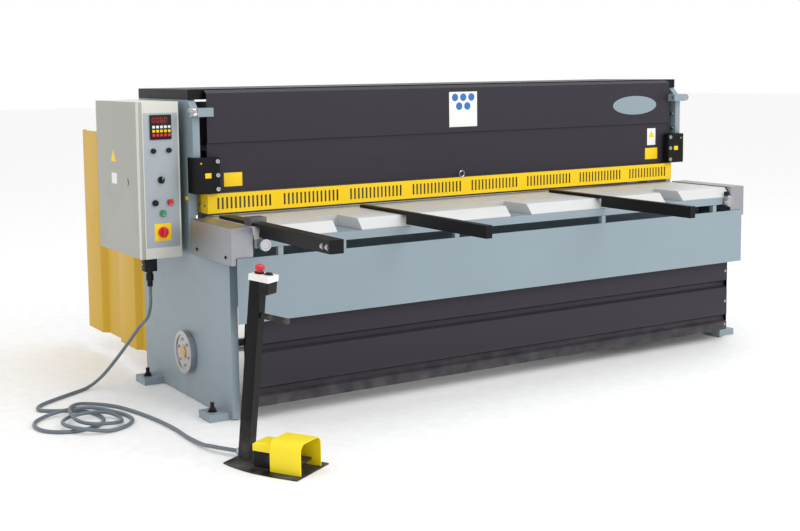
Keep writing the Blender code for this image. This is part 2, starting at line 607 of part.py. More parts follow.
def make_finger_guard():
    """A bent sheet in front of the hold-down, with groups of viewing slots."""
    outer = ((-GUARD_HALF, GUARD_Y), (GUARD_HALF, GUARD_Y), (GUARD_HALF, GUARD_Y + GUARD_RETURN),
             (GUARD_HALF - COVER_T, GUARD_Y + GUARD_RETURN), (GUARD_HALF - COVER_T, GUARD_Y + COVER_T),
             (-GUARD_HALF + COVER_T, GUARD_Y + COVER_T), (-GUARD_HALF + COVER_T, GUARD_Y + GUARD_RETURN),
             (-GUARD_HALF, GUARD_Y + GUARD_RETURN))
    guard = flat("finger_guard", [outer], "Z", (GUARD_BOTTOM, GUARD_TOP), YELLOW)
    middle = (GUARD_TOP + GUARD_BOTTOM) / 2
    bm = bmesh.new()
    for group in range(GROUP_COUNT):
        group_x = (group - (GROUP_COUNT - 1) / 2) * GROUP_PITCH
        for slot in range(SLOT_COUNT):
            x = group_x + (slot - (SLOT_COUNT - 1) / 2) * SLOT_PITCH
            if abs(x) > GUARD_HALF - SLOT_END_MARGIN:
                continue
            add_box(bm, (x - SLOT_W / 2, x + SLOT_W / 2), (GUARD_Y - WELD, GUARD_Y + COVER_T + WELD / 2),
                    (middle - SLOT_H / 2, middle + SLOT_H / 2))
    cut(guard, finish("slot_cutter", bm, None, frame_origin))


def make_guide_block(side, sign):
    """A block bolted in the side frame's notch, which laps over the ram's end."""
    back = UPPER_COVER_Y - SLIDE_GAP
    outline = [(-HALF + GAP, GUIDE_FRONT_Y), (-HALF + GUIDE_W, GUIDE_FRONT_Y), (-HALF + GUIDE_W, back),
               (-INNER, back), (-INNER, NOTCH_Y - GAP), (-HALF + GAP, NOTCH_Y - GAP)]
    if sign > 0:
        outline = mirrored(outline)
    flat("guide_block_" + side, [outline], "Z", (COVER_BOTTOM_Z, GUIDE_TOP), BLACK)


# ---------------------------------------------------------------- drive
def make_crankshaft():
    """A long shaft under the table with an eccentric near each end. Its origin is on its axis."""
    end = HALF + CAP_T
    axis = (0.0, CRANK_Y, CRANK_Z)
    shaft = drum("crankshaft", "X", (CRANK_Y, CRANK_Z), SHAFT_R, (-end, end), BRUSHED, pivot=axis)
    for side, sign in SIDES:
        disc = drum("eccentric_weld_" + side, "X", (CRANK_Y, CRANK_Z + CRANK_THROW), ECCENTRIC_R,
                    (sign * ROD_X - ECCENTRIC_T / 2, sign * ROD_X + ECCENTRIC_T / 2), None)
        weld(shaft, disc)


def make_rod(side, sign):
    """A connecting rod: a bar that leans back to the ram, with a big end left open round the eccentric."""
    inner = ECCENTRIC_R + LAG
    outer = inner + ROD_RIM
    middle_z = CRANK_Z + CRANK_THROW
    front = (CRANK_Y - CRANK_THROW + LAG - SLIDE_GAP / 2, middle_z)
    back = (CRANK_Y - LAG + SLIDE_GAP / 2, middle_z)
    angle = math.degrees(math.asin(ROD_HALF_W * 2 / outer))
    outline = arc(back, outer, -90, 90 - angle, 10)
    outline += [(ROD_TOP_Y + ROD_HALF_W, ROD_TOP_Z - ROD_HALF_W), (ROD_TOP_Y + ROD_HALF_W, ROD_TOP_Z),
                (ROD_TOP_Y - ROD_HALF_W, ROD_TOP_Z), (ROD_TOP_Y - ROD_HALF_W, RAM_BOTTOM)]
    outline += arc(front, outer, 90, 270, 12)
    hole = arc(back, inner, -90, 90, 12) + arc(front, inner, 90, 270, 12)
    flat("connecting_rod_" + side, [outline, hole], "X",
         (sign * ROD_X - ROD_T / 2, sign * ROD_X + ROD_T / 2), FORGED)


def make_bearing_cap(side, sign):
    """A round flange on the outside of the side frame, which carries the crankshaft's end."""
    cap = drum("bearing_cap_" + side, "X", (CRANK_Y, CRANK_Z), CAP_R,
               (sign * (HALF + GAP), sign * (HALF + CAP_T)), BRUSHED)
    cut(cap, drum("cap_bore_" + side, "X", (CRANK_Y, CRANK_Z), SHAFT_R + SHAFT_CLEAR,
                  (sign * (HALF - WELD), sign * (HALF + CAP_T + WELD)), None))


def make_gearbox():
    """The gearbox casing, through which the crankshaft passes, with a bore for the flywheel's stub."""
    casing = box("gearbox", GEARBOX_X, GEARBOX_Y, GEARBOX_Z, FORGED)
    cut(casing, drum("gearbox_bore", "X", (CRANK_Y, CRANK_Z), FRAME_BORE_R,
                     (GEARBOX_X[0] - WELD, GEARBOX_X[1] + WELD), None))
    cut(casing, drum("stub_bore", "X", (FLYWHEEL_Y, FLYWHEEL_Z), STUB_R + SHAFT_CLEAR,
                     (GEARBOX_X[1] + WHEEL_OFFSET - STUB_LENGTH - GAP, GEARBOX_X[1] + WELD), None,
                     steps=SMALL_STEPS))


def make_wheel(name, y, z, radius, width, mat):
    """A belt wheel with a shaft stub on its left side. Its origin is on its axis."""
    wheel = drum(name, "X", (y, z), radius, (WHEEL_X - width / 2, WHEEL_X + width / 2), mat,
                 pivot=(WHEEL_X, y, z))
    stub_end = GEARBOX_X[1] + WHEEL_OFFSET - STUB_LENGTH
    weld(wheel, drum(name + "_stub_weld", "X", (y, z), STUB_R, (stub_end, WHEEL_X), None, steps=SMALL_STEPS))


def make_motor():
    """The motor on its foot, which stands on the gearbox, with a bore for the pulley's stub."""
    end = GEARBOX_X[1]
    motor = drum("motor", "X", (MOTOR_Y, MOTOR_Z), MOTOR_R, (end - MOTOR_LENGTH, end), PALE_BLUE)
    weld(motor, box("motor_foot_weld", (end - MOTOR_LENGTH + WELD, end - WELD),
                    (GEARBOX_Y[1] - 6 * WELD, MOTOR_Y + MOTOR_R),
                    (GEARBOX_Z[1] + GAP, MOTOR_Z - MOTOR_R + WELD), None))
    cut(motor, drum("pulley_bore", "X", (MOTOR_Y, MOTOR_Z), STUB_R + SHAFT_CLEAR,
                    (GEARBOX_X[1] + WHEEL_OFFSET - STUB_LENGTH - GAP, end + WELD), None, steps=SMALL_STEPS))


def belt_loop(extra):
    """The line of a belt round the flywheel and the pulley, a distance outside both."""
    big, small = FLYWHEEL_R + extra, PULLEY_R + extra
    dy, dz = MOTOR_Y - FLYWHEEL_Y, MOTOR_Z - FLYWHEEL_Z
    heading = math.degrees(math.atan2(dz, dy))
    spread = math.degrees(math.acos((big - small) / math.hypot(dy, dz)))
    return (arc((FLYWHEEL_Y, FLYWHEEL_Z), big, heading + spread, heading + 360 - spread, 20)
            + arc((MOTOR_Y, MOTOR_Z), small, heading - spread, heading + spread, 10))


def make_drive():
    """Belt drive: motor, pulley, belt and flywheel."""
    make_gearbox()
    make_wheel("flywheel", FLYWHEEL_Y, FLYWHEEL_Z, FLYWHEEL_R, FLYWHEEL_T, FORGED)
    make_wheel("motor_pulley", MOTOR_Y, MOTOR_Z, PULLEY_R, FLYWHEEL_T, FORGED)
    make_motor()
    clearance = 2 * SLIDE_GAP
    flat("drive_belt", [belt_loop(clearance + BELT_T), belt_loop(clearance)], "X",
         (WHEEL_X - BELT_W / 2, WHEEL_X + BELT_W / 2), RUBBER)


def make_back_gauge():
    """The back gauge: a beam across the outlet that slides on two round rails fixed to the bed's web."""
    for side, sign in SIDES:
        drum("gauge_rail_" + side, "Y", (sign * RAIL_X, RAIL_Z), RAIL_R,
             (BLADE_Y + GAP, BLADE_Y + RAIL_LENGTH), CHROME, steps=SMALL_STEPS)
    box("back_gauge_beam", (-GAUGE_HALF, GAUGE_HALF), (GAUGE_Y, GAUGE_Y + GAUGE_T),
        (RAIL_Z + RAIL_R + GAP, GAUGE_TOP), BRUSHED)


# ---------------------------------------------------------------- covers and panels
def make_front_panel():
    """The pale panel under the table's edge, with the posts that hang it from the bed plate."""
    width = HALF + APRON_OUT
    front = BED_FRONT_Y
    panel = box("front_panel", (-width, width), (front, front + APRON_T), (APRON_BOTTOM,
                                                                           APRON_TOP), PALE_BLUE)
    bm = bmesh.new()
    for x in APRON_POST_X:
        add_box(bm, (x - APRON_POST_W / 2, x + APRON_POST_W / 2), (front + GAP, front + APRON_POST_W),
                (APRON_TOP - 4 * WELD, BED_TOP - BED_T - GAP))
    weld(panel, finish("panel_posts_weld", bm, None, frame_origin))


def make_skirt():
    """The lower front cover: one sheet with two pressed grooves."""
    front, back = [], []
    for height in (SKIRT_BOTTOM, *SKIRT_GROOVES, SKIRT_TOP):
        if height in SKIRT_GROOVES:
            low, high = height - SKIRT_GROOVE_H / 2, height + SKIRT_GROOVE_H / 2
            bend = SKIRT_GROOVE / 2
            for y, z in ((0.0, low - bend), (SKIRT_GROOVE, low), (SKIRT_GROOVE, high), (0.0, high + bend)):
                front.append((SKIRT_Y + y, z))
                back.append((SKIRT_Y + y + COVER_T, z))
        else:
            front.append((SKIRT_Y, height))
            back.append((SKIRT_Y + COVER_T, height))
    flat("lower_front_cover", [front + back[::-1]], "X", (-SKIRT_HALF, SKIRT_HALF), CHARCOAL)


def shell_box(name, x, y, z, wall, open_side, mat, parent=frame_origin, pivot=(0.0, 0.0, 0.0)):
    """A sheet box with one side left open: an open surface with a Solidify wall that grows inward."""
    bm = bmesh.new()
    add_box(bm, x, y, z)
    direction = Vector(open_side)
    lid = [face for face in bm.faces if face.normal.dot(direction) > 0.9]
    bmesh.ops.delete(bm, geom=lid, context="FACES_ONLY")
    made = finish(name, bm, mat, parent, pivot)
    sheet = made.modifiers.new("sheet", "SOLIDIFY")
    sheet.thickness = wall
    sheet.offset = -1.0
    sheet.use_even_offset = True
    return made


def make_end_cover(side, sign):
    """A sheet box over the table's end, open underneath."""
    shell_box("end_cover_" + side, (sign * (HALF - END_COVER_IN), sign * (HALF + END_COVER_OUT)),
              (END_COVER_FRONT, END_COVER_REAR), (BASE_TOP + GAP, END_COVER_TOP), COVER_T, (0, 0,
                                                                                            -1), BRUSHED)


def make_top_cover():
    """The black box that closes the machine's top, open underneath."""
    shell_box("top_cover", (-HALF, HALF), (TOP_COVER_FRONT, FRAME_DEPTH), (FRAME_TOP + GAP, TOP_COVER_TOP),
              COVER_T, (0, 0, -1), BLACK)


def make_rear_guard(side, sign):
    """A folded sheet beside the outlet, behind the side frame."""
    near = HALF - FENCE_IN
    far = near + FENCE_FOLD
    start = FRAME_DEPTH + GAP
    folds = [(near, start)]
    for first in range(FENCE_RIBS):
        rib = start + FENCE_FLAT + first * FENCE_RIB_PITCH
        folds += [(near, rib), (far, rib + FENCE_FOLD), (far, rib + FENCE_RIB_W), (near,
                                                                              rib + FENCE_RIB_W + FENCE_FOLD)]
    folds.append((near, start + FENCE_LENGTH))
    inside = folds
    outside = [(x + FENCE_T, y) for x, y in folds]
    outline = inside + outside[::-1]
    if sign < 0:
        outline = mirrored(outline)
    flat("rear_guard_" + side, [outline], "Z", FENCE_Z, OCHRE)


# ---------------------------------------------------------------- arms, stop and adjusters
def make_arm(name, x, width):
    """A support arm: thin where it lies on the table, deep in front of it."""
    thin = TABLE_Z + GAP
    deep = ARM_TOP - ARM_DEPTH
    outline = ((ARM_FRONT, deep), (ARM_DEEP_Y, deep), (ARM_DEEP_Y, thin), (ARM_REAR, thin),
               (ARM_REAR, ARM_TOP), (ARM_FRONT, ARM_TOP))
    flat(name, [outline], "X", (x - width / 2, x + width / 2), BLACK)


def make_sliding_stop():
    """A stop that slides along the squaring arm and laps over its two sides."""
    x, width = ARM_X[0], ARM_W[0]
    low = TABLE_Z + SLIDE_GAP
    half = width / 2 + SLIDE_GAP
    lip = 0.004
    outline = ((x - half - lip, low), (x - half, low), (x - half, ARM_TOP + GAP), (x + half, ARM_TOP + GAP),
               (x + half, low), (x + half + lip, low), (x + half + lip, ARM_TOP + STOP_H),
               (x - half - lip, ARM_TOP + STOP_H))
    flat("sliding_stop", [outline], "Y", (STOP_Y - STOP_L / 2, STOP_Y + STOP_L / 2), FORGED,
         pivot=(x, STOP_Y, ARM_TOP))


def make_gap_screw(side, sign):
    """The screw that sets the blade gap: a round head in front of the bed and a shank in it."""
    x = sign * GAP_SCREW_X
    face = BED_FRONT_Y - GAP
    screw = drum("gap_screw_" + side, "Y", (x, GAP_SCREW_Z), GAP_SCREW_R, (face - GAP_SCREW_HEAD, face),
                 CHROME, pivot=(x, face, GAP_SCREW_Z))
    weld(screw, drum("gap_shank_weld_" + side, "Y", (x, GAP_SCREW_Z), GAP_SCREW_SHANK_R,
                     (face - WELD, face + GAP_SCREW_SHANK - GAP), None, steps=SMALL_STEPS))


def make_lock_pin(side, sign):
    """A pull pin with a knob, guided by the bracket on the side frame's top corner."""
    face = sign * (PIN_BRACKET_X[1] + GAP)
    pin = drum("lock_pin_" + side, "X", (PIN_Y, PIN_Z), PIN_KNOB_R, (face, face + sign * PIN_KNOB_L), CHROME,
               pivot=(face, PIN_Y, PIN_Z))
    weld(pin, drum("pin_shank_weld_" + side, "X", (PIN_Y, PIN_Z), PIN_R,
                   (sign * (PIN_BRACKET_X[0] + WELD), face + sign * WELD), None, steps=SMALL_STEPS))


# ---------------------------------------------------------------- control cabinet
def make_cabinet():
    """The cabinet's shell, open towards its door, on two standoffs, with holes for the push buttons."""
    shell = shell_box("cabinet_body", CABINET_X, CABINET_Y, CABINET_Z, CABINET_WALL, (-1, 0, 0), CREAM)
    bm = bmesh.new()
    for z in (CABINET_Z[0] + 10 * WELD, CABINET_Z[1] - 10 * WELD):
        add_box(bm, (CABINET_X[1] - CABINET_WALL / 2, -HALF - GAP), (CABINET_Y[0] + 10 * WELD,
                                                                     CABINET_Y[1] - 4 * WELD),
                (z - 2 * WELD, z + 2 * WELD))
    weld(shell, finish("standoffs_weld", bm, None, frame_origin))
    bm = bmesh.new()
    for x, z in (START_POS, STOP_POS):
        add_drum(bm, "Y", (x, z), BUTTON_R + SHAFT_CLEAR, (CABINET_Y[0] - WELD,
                                                           CABINET_Y[0] + WELD), SMALL_STEPS)
    cut(shell, finish("button_holes", bm, None, frame_origin))


def make_door():
    """The cabinet's door, hung on its rear edge, with a bore for its lock."""
    outer = CABINET_X[0] - GAP - DOOR_T
    hinge = (outer, CABINET_Y[1], (CABINET_Z[0] + CABINET_Z[1]) / 2)
    door = box("cabinet_door", (outer, outer + DOOR_T), CABINET_Y, CABINET_Z, DOOR_GREY, pivot=hinge)
    cut(door, drum("lock_bore", "X", (LOCK_Y, LOCK_Z), LOCK_R + SHAFT_CLEAR,
                   (outer - WELD, outer + DOOR_T / 2), None, steps=SMALL_STEPS))
    drum("door_lock", "X", (LOCK_Y, LOCK_Z), LOCK_R, (outer - DOOR_T / 4, outer + DOOR_T / 2 - GAP), CHROME,
         pivot=(outer, LOCK_Y, LOCK_Z), steps=SMALL_STEPS)


def make_controls():
    """What stands on the cabinet's front: counter, selector, main switch and two push buttons."""
    face = CABINET_Y[0] - PANEL_FACE
    box("counter_display", (DISPLAY_X - DISPLAY_W / 2, DISPLAY_X + DISPLAY_W / 2), (face - DISPLAY_T, face),
        (DISPLAY_Z - DISPLAY_H / 2, DISPLAY_Z + DISPLAY_H / 2), PLASTIC)
    for name, place, radius, depth, mat in (("mode_selector", SELECTOR_POS, KNOB_R, 0.020, PLASTIC),
                                            ("main_switch_knob", MAIN_POS, MAIN_KNOB_R, 0.026, RED)):
        drum(name, "Y", place, radius, (face - depth, face), mat, pivot=(place[0], face, place[1]),
             steps=CIRCLE_STEPS)
    for name, place, mat in (("start_button", START_POS, GREEN), ("stop_button", STOP_POS, RED)):
        drum(name, "Y", place, BUTTON_R, (face - BUTTON_OUT, CABINET_Y[0] + CABINET_WALL), mat,
             pivot=(place[0], face, place[1]), steps=SMALL_STEPS)


def make_connector():
    """The plug connector under the cabinet: its rectangular hood and the round plug end."""
    top = CABINET_Z[0] - GAP
    hood = box("cable_connector", (CONNECTOR_X - 0.026, CONNECTOR_X + 0.026), (CONNECTOR_Y - 0.020,
                                                                               CONNECTOR_Y + 0.020),
               (top - CONNECTOR_DROP, top), PLASTIC)
    weld(hood, drum("plug_weld", "Z", (CONNECTOR_X, CONNECTOR_Y), PLUG_R,
                    (top - CONNECTOR_DROP - PLUG_DROP, top - CONNECTOR_DROP + WELD), None, steps=SMALL_STEPS))


# ---------------------------------------------------------------- pedestal and foot switch
def make_stand():
    """Base plate and leaning post, welded, with the gland that takes the cable."""
    stand = flat("pedestal_stand", [base_outline], "Z", (0.0, BASE_T), BLACK, parent=pedestal)
    weld(stand, box("post_weld", (-POST_HALF_X, POST_HALF_X), (-POST_HALF_Y, POST_HALF_Y), (0.0, POST_LENGTH),
                    None, parent=post))
    face = POST_AT[1] + POST_HALF_Y - GLAND_Z * math.tan(POST_TILT)
    weld(stand, drum("gland_weld", "Y", (POST_AT[0], GLAND_Z), GLAND_R, (face - WELD, face + GLAND_L), None,
                     parent=pedestal, steps=SMALL_STEPS))
    return face + GLAND_L


def make_button_box():
    """The box on the post's top, its lid and the two buttons that go through the lid."""
    box("button_box", (-BOX_HALF, BOX_HALF), (BOX_FRONT, -POST_HALF_Y - GAP), (POST_LENGTH - BOX_H,
                                                                               POST_LENGTH),
        PLASTIC, parent=post)
    lid = box("button_box_lid", (-LID_HALF, LID_HALF), LID_Y, (POST_LENGTH + GAP, LID_TOP), WHITE,
              parent=post)
    bm = bmesh.new()
    floor = POST_LENGTH + GAP + COVER_T
    add_drum(bm, "Z", (0.0, STOP_AT_Y), STOP_STEM_R + SHAFT_CLEAR, (floor, LID_TOP + WELD), SMALL_STEPS)
    add_drum(bm, "Z", (0.0, PRESS_AT_Y), PRESS_R + SHAFT_CLEAR, (floor, LID_TOP + WELD), SMALL_STEPS)
    cut(lid, finish("lid_holes", bm, None, post))
    stem_low = LID_TOP - STEM_IN
    head_low, head_top = (LID_TOP + height for height in STOP_HEAD)
    stop = drum("emergency_stop", "Z", (0.0, STOP_AT_Y), STOP_STEM_R, (stem_low, head_low + COVER_T), RED,
                parent=post, pivot=(0.0, STOP_AT_Y, LID_TOP), steps=SMALL_STEPS)
    weld(stop, drum("mushroom_weld", "Z", (0.0, STOP_AT_Y), STOP_HEAD_R, (head_low, head_top),
                    None, parent=post))
    drum("pedestal_button", "Z", (0.0, PRESS_AT_Y), PRESS_R, (stem_low, LID_TOP + PRESS_OUT), PLASTIC,
         parent=post, pivot=(0.0, PRESS_AT_Y, LID_TOP), steps=SMALL_STEPS)


def make_grip():
    """The round grip that stands out of the post's front."""
    start = -POST_HALF_Y - GRIP_GAP
    drum("hand_grip", "Y", (0.0, GRIP_Z), GRIP_R, (start - GRIP_LENGTH, start), RUBBER, parent=post,
         steps=SMALL_STEPS)


def make_foot_switch():
    """Foot switch: black body, yellow hood with its rear cap, and the pedal under the hood."""
    x = (SWITCH_X - SWITCH_HALF, SWITCH_X + SWITCH_HALF)
    floor = BASE_T + GAP
    box("foot_switch_body", x, SWITCH_Y, (floor, SWITCH_TOP), PLASTIC, parent=pedestal)

    def arch(inset):
        """Half a loop over the pedal, from its right foot to its left one, with two rounded corners."""
        half, top, bend = HOOD_HALF - inset, HOOD_TOP - inset, HOOD_CORNER - inset
        right = arc((SWITCH_X + half - bend, top - bend), bend, 0, 90, 5)
        left = arc((SWITCH_X - half + bend, top - bend), bend, 90, 180, 5)
        return [(SWITCH_X + half, floor), *right, *left, (SWITCH_X - half, floor)]

    outline = arch(0.0) + arch(HOOD_T)[::-1]
    hood = flat("foot_switch_hood", [outline], "Y", HOOD_Y, YELLOW, parent=pedestal)
    weld(hood, box("hood_cap_weld", (x[0] - HOOD_T, x[1] + HOOD_T), (SWITCH_Y[0] + GAP, SWITCH_Y[1]),
                   (SWITCH_TOP + GAP, HOOD_CAP_TOP), None, parent=pedestal))
    weld(hood, box("hood_bridge_weld", (SWITCH_X - HOOD_HALF + HOOD_T / 2, SWITCH_X + HOOD_HALF - HOOD_T / 2),
                   (HOOD_Y[1] - 2 * HOOD_T, HOOD_Y[1] - HOOD_T),
                   (SWITCH_TOP + GAP + HOOD_T / 3, HOOD_CAP_TOP - HOOD_T / 3), None, parent=pedestal))
    box("foot_pedal", (SWITCH_X - PEDAL_HALF, SWITCH_X + PEDAL_HALF), PEDAL_Y, PEDAL_Z, BLACK,
        parent=pedestal,
        pivot=(SWITCH_X, PEDAL_Y[1], sum(PEDAL_Z) / 2))


# ---------------------------------------------------------------- cable
def smooth_route(route, count):
    """Points evenly spaced along a smooth curve through the route (a Catmull-Rom curve)."""
    knots = [Vector(point) for point in route]
    knots = [2 * knots[0] - knots[1]] + knots + [2 * knots[-1] - knots[-2]]
    dense = []
    for before, start, end, after in zip(knots, knots[1:], knots[2:], knots[3:]):
        for step in range(20):
            t = step / 20
            bend = 2 * before - 5 * start + 4 * end - after
            twist = 3 * start - before - 3 * end + after
            dense.append(0.5 * (2 * start + (end - before) * t + bend * t ** 2 + twist * t ** 3))
    dense.append(knots[-2])
    travelled = [0.0]
    for first, second in zip(dense, dense[1:]):
        travelled.append(travelled[-1] + (second - first).length)
    points, index = [], 0
    for k in range(count):
        goal = travelled[-1] * k / (count - 1)
        while index < len(dense) - 2 and travelled[index + 1] < goal:
            index += 1
        share = (goal - travelled[index]) / (travelled[index + 1] - travelled[index])
        points.append(dense[index].lerp(dense[index + 1], share))
    return points


def make_cable(gland_end):
    """The cable from the cabinet's plug, over the floor in three loose turns, to the pedestal's gland."""
    plug_end = CABINET_Z[0] - GAP - CONNECTOR_DROP - PLUG_DROP - GAP
    start = [(CONNECTOR_X, CONNECTOR_Y, plug_end - drop) for drop in CABLE_DROPS]
    lying = [(x - HALF, y, z) for x, y, z in CABLE_ROUTE]
    approach = [(*turned((POST_AT[0], gland_end + away)), GLAND_Z) for away in (5 * CABLE_D,
                                                                                2 * CABLE_D, GAP)]
    route = (*start, *lying, *approach)
    curve = bpy.data.curves.new("pedestal_cable", "CURVE")
    curve.dimensions = "3D"
    curve.bevel_depth = CABLE_D / 2
    curve.bevel_resolution = 2
    curve.use_fill_caps = True
    curve.materials.append(GREY_SHEATH)
    points = smooth_route(route, CABLE_POINTS)
    spline = curve.splines.new("POLY")
    spline.points.add(len(points) - 1)
    for target, point in zip(spline.points, points):
        target.co = (*point, 1.0)
    made = bpy.data.objects.new("pedestal_cable", curve)
    parts.objects.link(made)
    made.parent = frame_origin


# ---------------------------------------------------------------- the assembly
make_bed()
make_table()
make_blades()
make_ram()
make_ram_covers()
make_hold_down()
make_finger_guard()
make_crankshaft()
make_drive()
make_back_gauge()
make_front_panel()
make_skirt()
make_top_cover()
for side_name, side_sign in SIDES:
    make_side_frame(side_name, side_sign)
    make_guide_block(side_name, side_sign)
    make_rod(side_name, side_sign)
    make_bearing_cap(side_name, side_sign)
    make_end_cover(side_name, side_sign)
    make_rear_guard(side_name, side_sign)
    make_gap_screw(side_name, side_sign)
    make_lock_pin(side_name, side_sign)
for arm_name, arm_x, arm_w in zip(("squaring_arm", "middle_arm", "right_arm"), ARM_X, ARM_W):
    make_arm(arm_name, arm_x, arm_w)
make_sliding_stop()
make_cabinet()
make_door()
make_controls()
make_connector()
gland_face = make_stand()
make_button_box()
make_grip()
make_foot_switch()
make_cable(gland_face)
bpy.context.view_layer.update()
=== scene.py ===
# %% [markdown]
# # A guillotine shear for sheet metal
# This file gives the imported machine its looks. The machine shears a sheet between a fixed blade under the
# table's rear edge and a raked blade on a ram. A slotted yellow guard keeps fingers out, three arms carry the
# sheet in front, and a foot switch on a pedestal starts the stroke.
# Sizes are in metres. The front faces -Y, X runs along the blades and Z is up.

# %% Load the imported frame
import json
import math

import bmesh
import bpy
import numpy as np
from mathutils import Matrix, Vector


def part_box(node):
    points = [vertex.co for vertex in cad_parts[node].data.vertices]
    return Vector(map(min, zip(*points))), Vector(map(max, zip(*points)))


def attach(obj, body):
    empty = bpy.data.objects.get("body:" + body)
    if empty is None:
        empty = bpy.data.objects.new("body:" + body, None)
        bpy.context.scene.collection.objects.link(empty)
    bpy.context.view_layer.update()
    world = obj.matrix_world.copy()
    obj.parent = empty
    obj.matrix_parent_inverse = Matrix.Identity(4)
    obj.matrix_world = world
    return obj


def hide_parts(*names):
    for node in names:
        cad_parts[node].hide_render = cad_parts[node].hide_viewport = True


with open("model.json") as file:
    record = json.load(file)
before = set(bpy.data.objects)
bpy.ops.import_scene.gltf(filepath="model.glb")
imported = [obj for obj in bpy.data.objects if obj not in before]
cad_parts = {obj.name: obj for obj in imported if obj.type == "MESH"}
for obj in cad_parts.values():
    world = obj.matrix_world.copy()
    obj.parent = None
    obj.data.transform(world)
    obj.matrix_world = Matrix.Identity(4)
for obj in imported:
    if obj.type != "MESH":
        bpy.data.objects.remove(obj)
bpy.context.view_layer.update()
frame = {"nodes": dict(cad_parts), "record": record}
LEFT_FRAME, RIGHT_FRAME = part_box("side_frame_left"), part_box("side_frame_right")
# The machine's own zero: middle of its length, front edge of its side frames, floor.
ORIGIN = np.array(((LEFT_FRAME[0][0] + RIGHT_FRAME[1][0]) / 2, LEFT_FRAME[0][1], 0.0))
HALF = 1.3                # half the length over the two side frames
print("machine zero", ORIGIN.round(5))


def at(x, y, z):
    """A place measured from the machine's own zero, in the frame's coordinates."""
    return ORIGIN + np.array((x, y, z), float)


# %% [markdown]
# ## The view
# A catalogue view stands a little above the control cabinet and looks along the machine, so that the front, the
# left side and the table all show. The camera is turned by three angles. Its lens is shifted slightly, as a
# picture cropped off its middle is.

# %% Camera
YAW, PITCH, ROLL = math.radians(31.3085), math.radians(-5.8181), math.radians(-0.7236)
camera_data = bpy.data.cameras.new("view")
camera_data.sensor_width = 36.0
camera_data.lens = 56.24
camera_data.shift_x = 0.0281
camera_data.shift_y = -0.0873
camera = bpy.data.objects.new("view", camera_data)
bpy.context.scene.collection.objects.link(camera)
camera.matrix_world = (Matrix.Translation(at(-3.21332, -4.21201, 1.31362)) @ Matrix.Rotation(-YAW, 4, "Z")
                       @ Matrix.Rotation(math.pi / 2 + PITCH, 4, "X") @ Matrix.Rotation(ROLL, 4, "Z"))
bpy.context.scene.camera = camera
print("camera looks along", tuple(round(c, 4) for c in camera.matrix_world.to_3x3() @ Vector((0, 0, -1))))

# %% [markdown]
# ## Floor and light
# A studio has one large soft light in front, a weaker one above and a bright surround. The floor is one pale
# sheet, wide enough to look endless.

# %% Floor, surround and lamps
FLOOR_HALF = 40.0
floor_mesh = bpy.data.meshes.new("studio_floor")
floor_mesh.from_pydata([(-FLOOR_HALF, -FLOOR_HALF, 0), (FLOOR_HALF, -FLOOR_HALF, 0),
                        (FLOOR_HALF, FLOOR_HALF, 0), (-FLOOR_HALF, FLOOR_HALF, 0)], [], [(0, 1, 2, 3)])
floor = bpy.data.objects.new("studio_floor", floor_mesh)
bpy.context.scene.collection.objects.link(floor)

world = bpy.data.worlds.new("studio")
world.use_nodes = True
world.node_tree.nodes["Background"].inputs["Color"].default_value = (1.0, 1.0, 1.0, 1.0)
world.node_tree.nodes["Background"].inputs["Strength"].default_value = 1.00
bpy.context.scene.world = world
bpy.context.scene.view_settings.view_transform = "Standard"


def lamp(name, place, target, size, watts):
    """A square area light at a place, turned towards a target."""
    data = bpy.data.lights.new(name, "AREA")
    data.size, data.energy = size, watts
    made = bpy.data.objects.new(name, data)
    bpy.context.scene.collection.objects.link(made)
    heading = Vector(target) - Vector(place)
    made.matrix_world = Matrix.Translation(place) @ heading.to_track_quat("-Z", "Y").to_matrix().to_4x4()


lamp("key_light", (1.8, -5.5, 4.0), (0, 0, 0.7), 3.5, 150)
lamp("top_light", (0, 0.5, 5.0), (0, 0, 0.5), 4.0, 40)

# %% [markdown]
# ## The cable, before anything else
# A grey control cable hangs from the plug under the cabinet, comes down beside the machine, lies on the floor in
# three loose turns and runs to the gland at the foot of the pedestal. It is one bendy thing of a fixed length, so
# it is a single smooth line with a round section. The line passes smoothly through listed points: between
# two neighbours the place is a cubic blend whose slope at each point is that of the line joining its neighbours.

# %% Cable
CABLE_D = 0.014
CABLE_STEPS = 6
PEDESTAL_TURN = math.radians(30.0)
PEDESTAL_AT = (-1.508, -0.430)
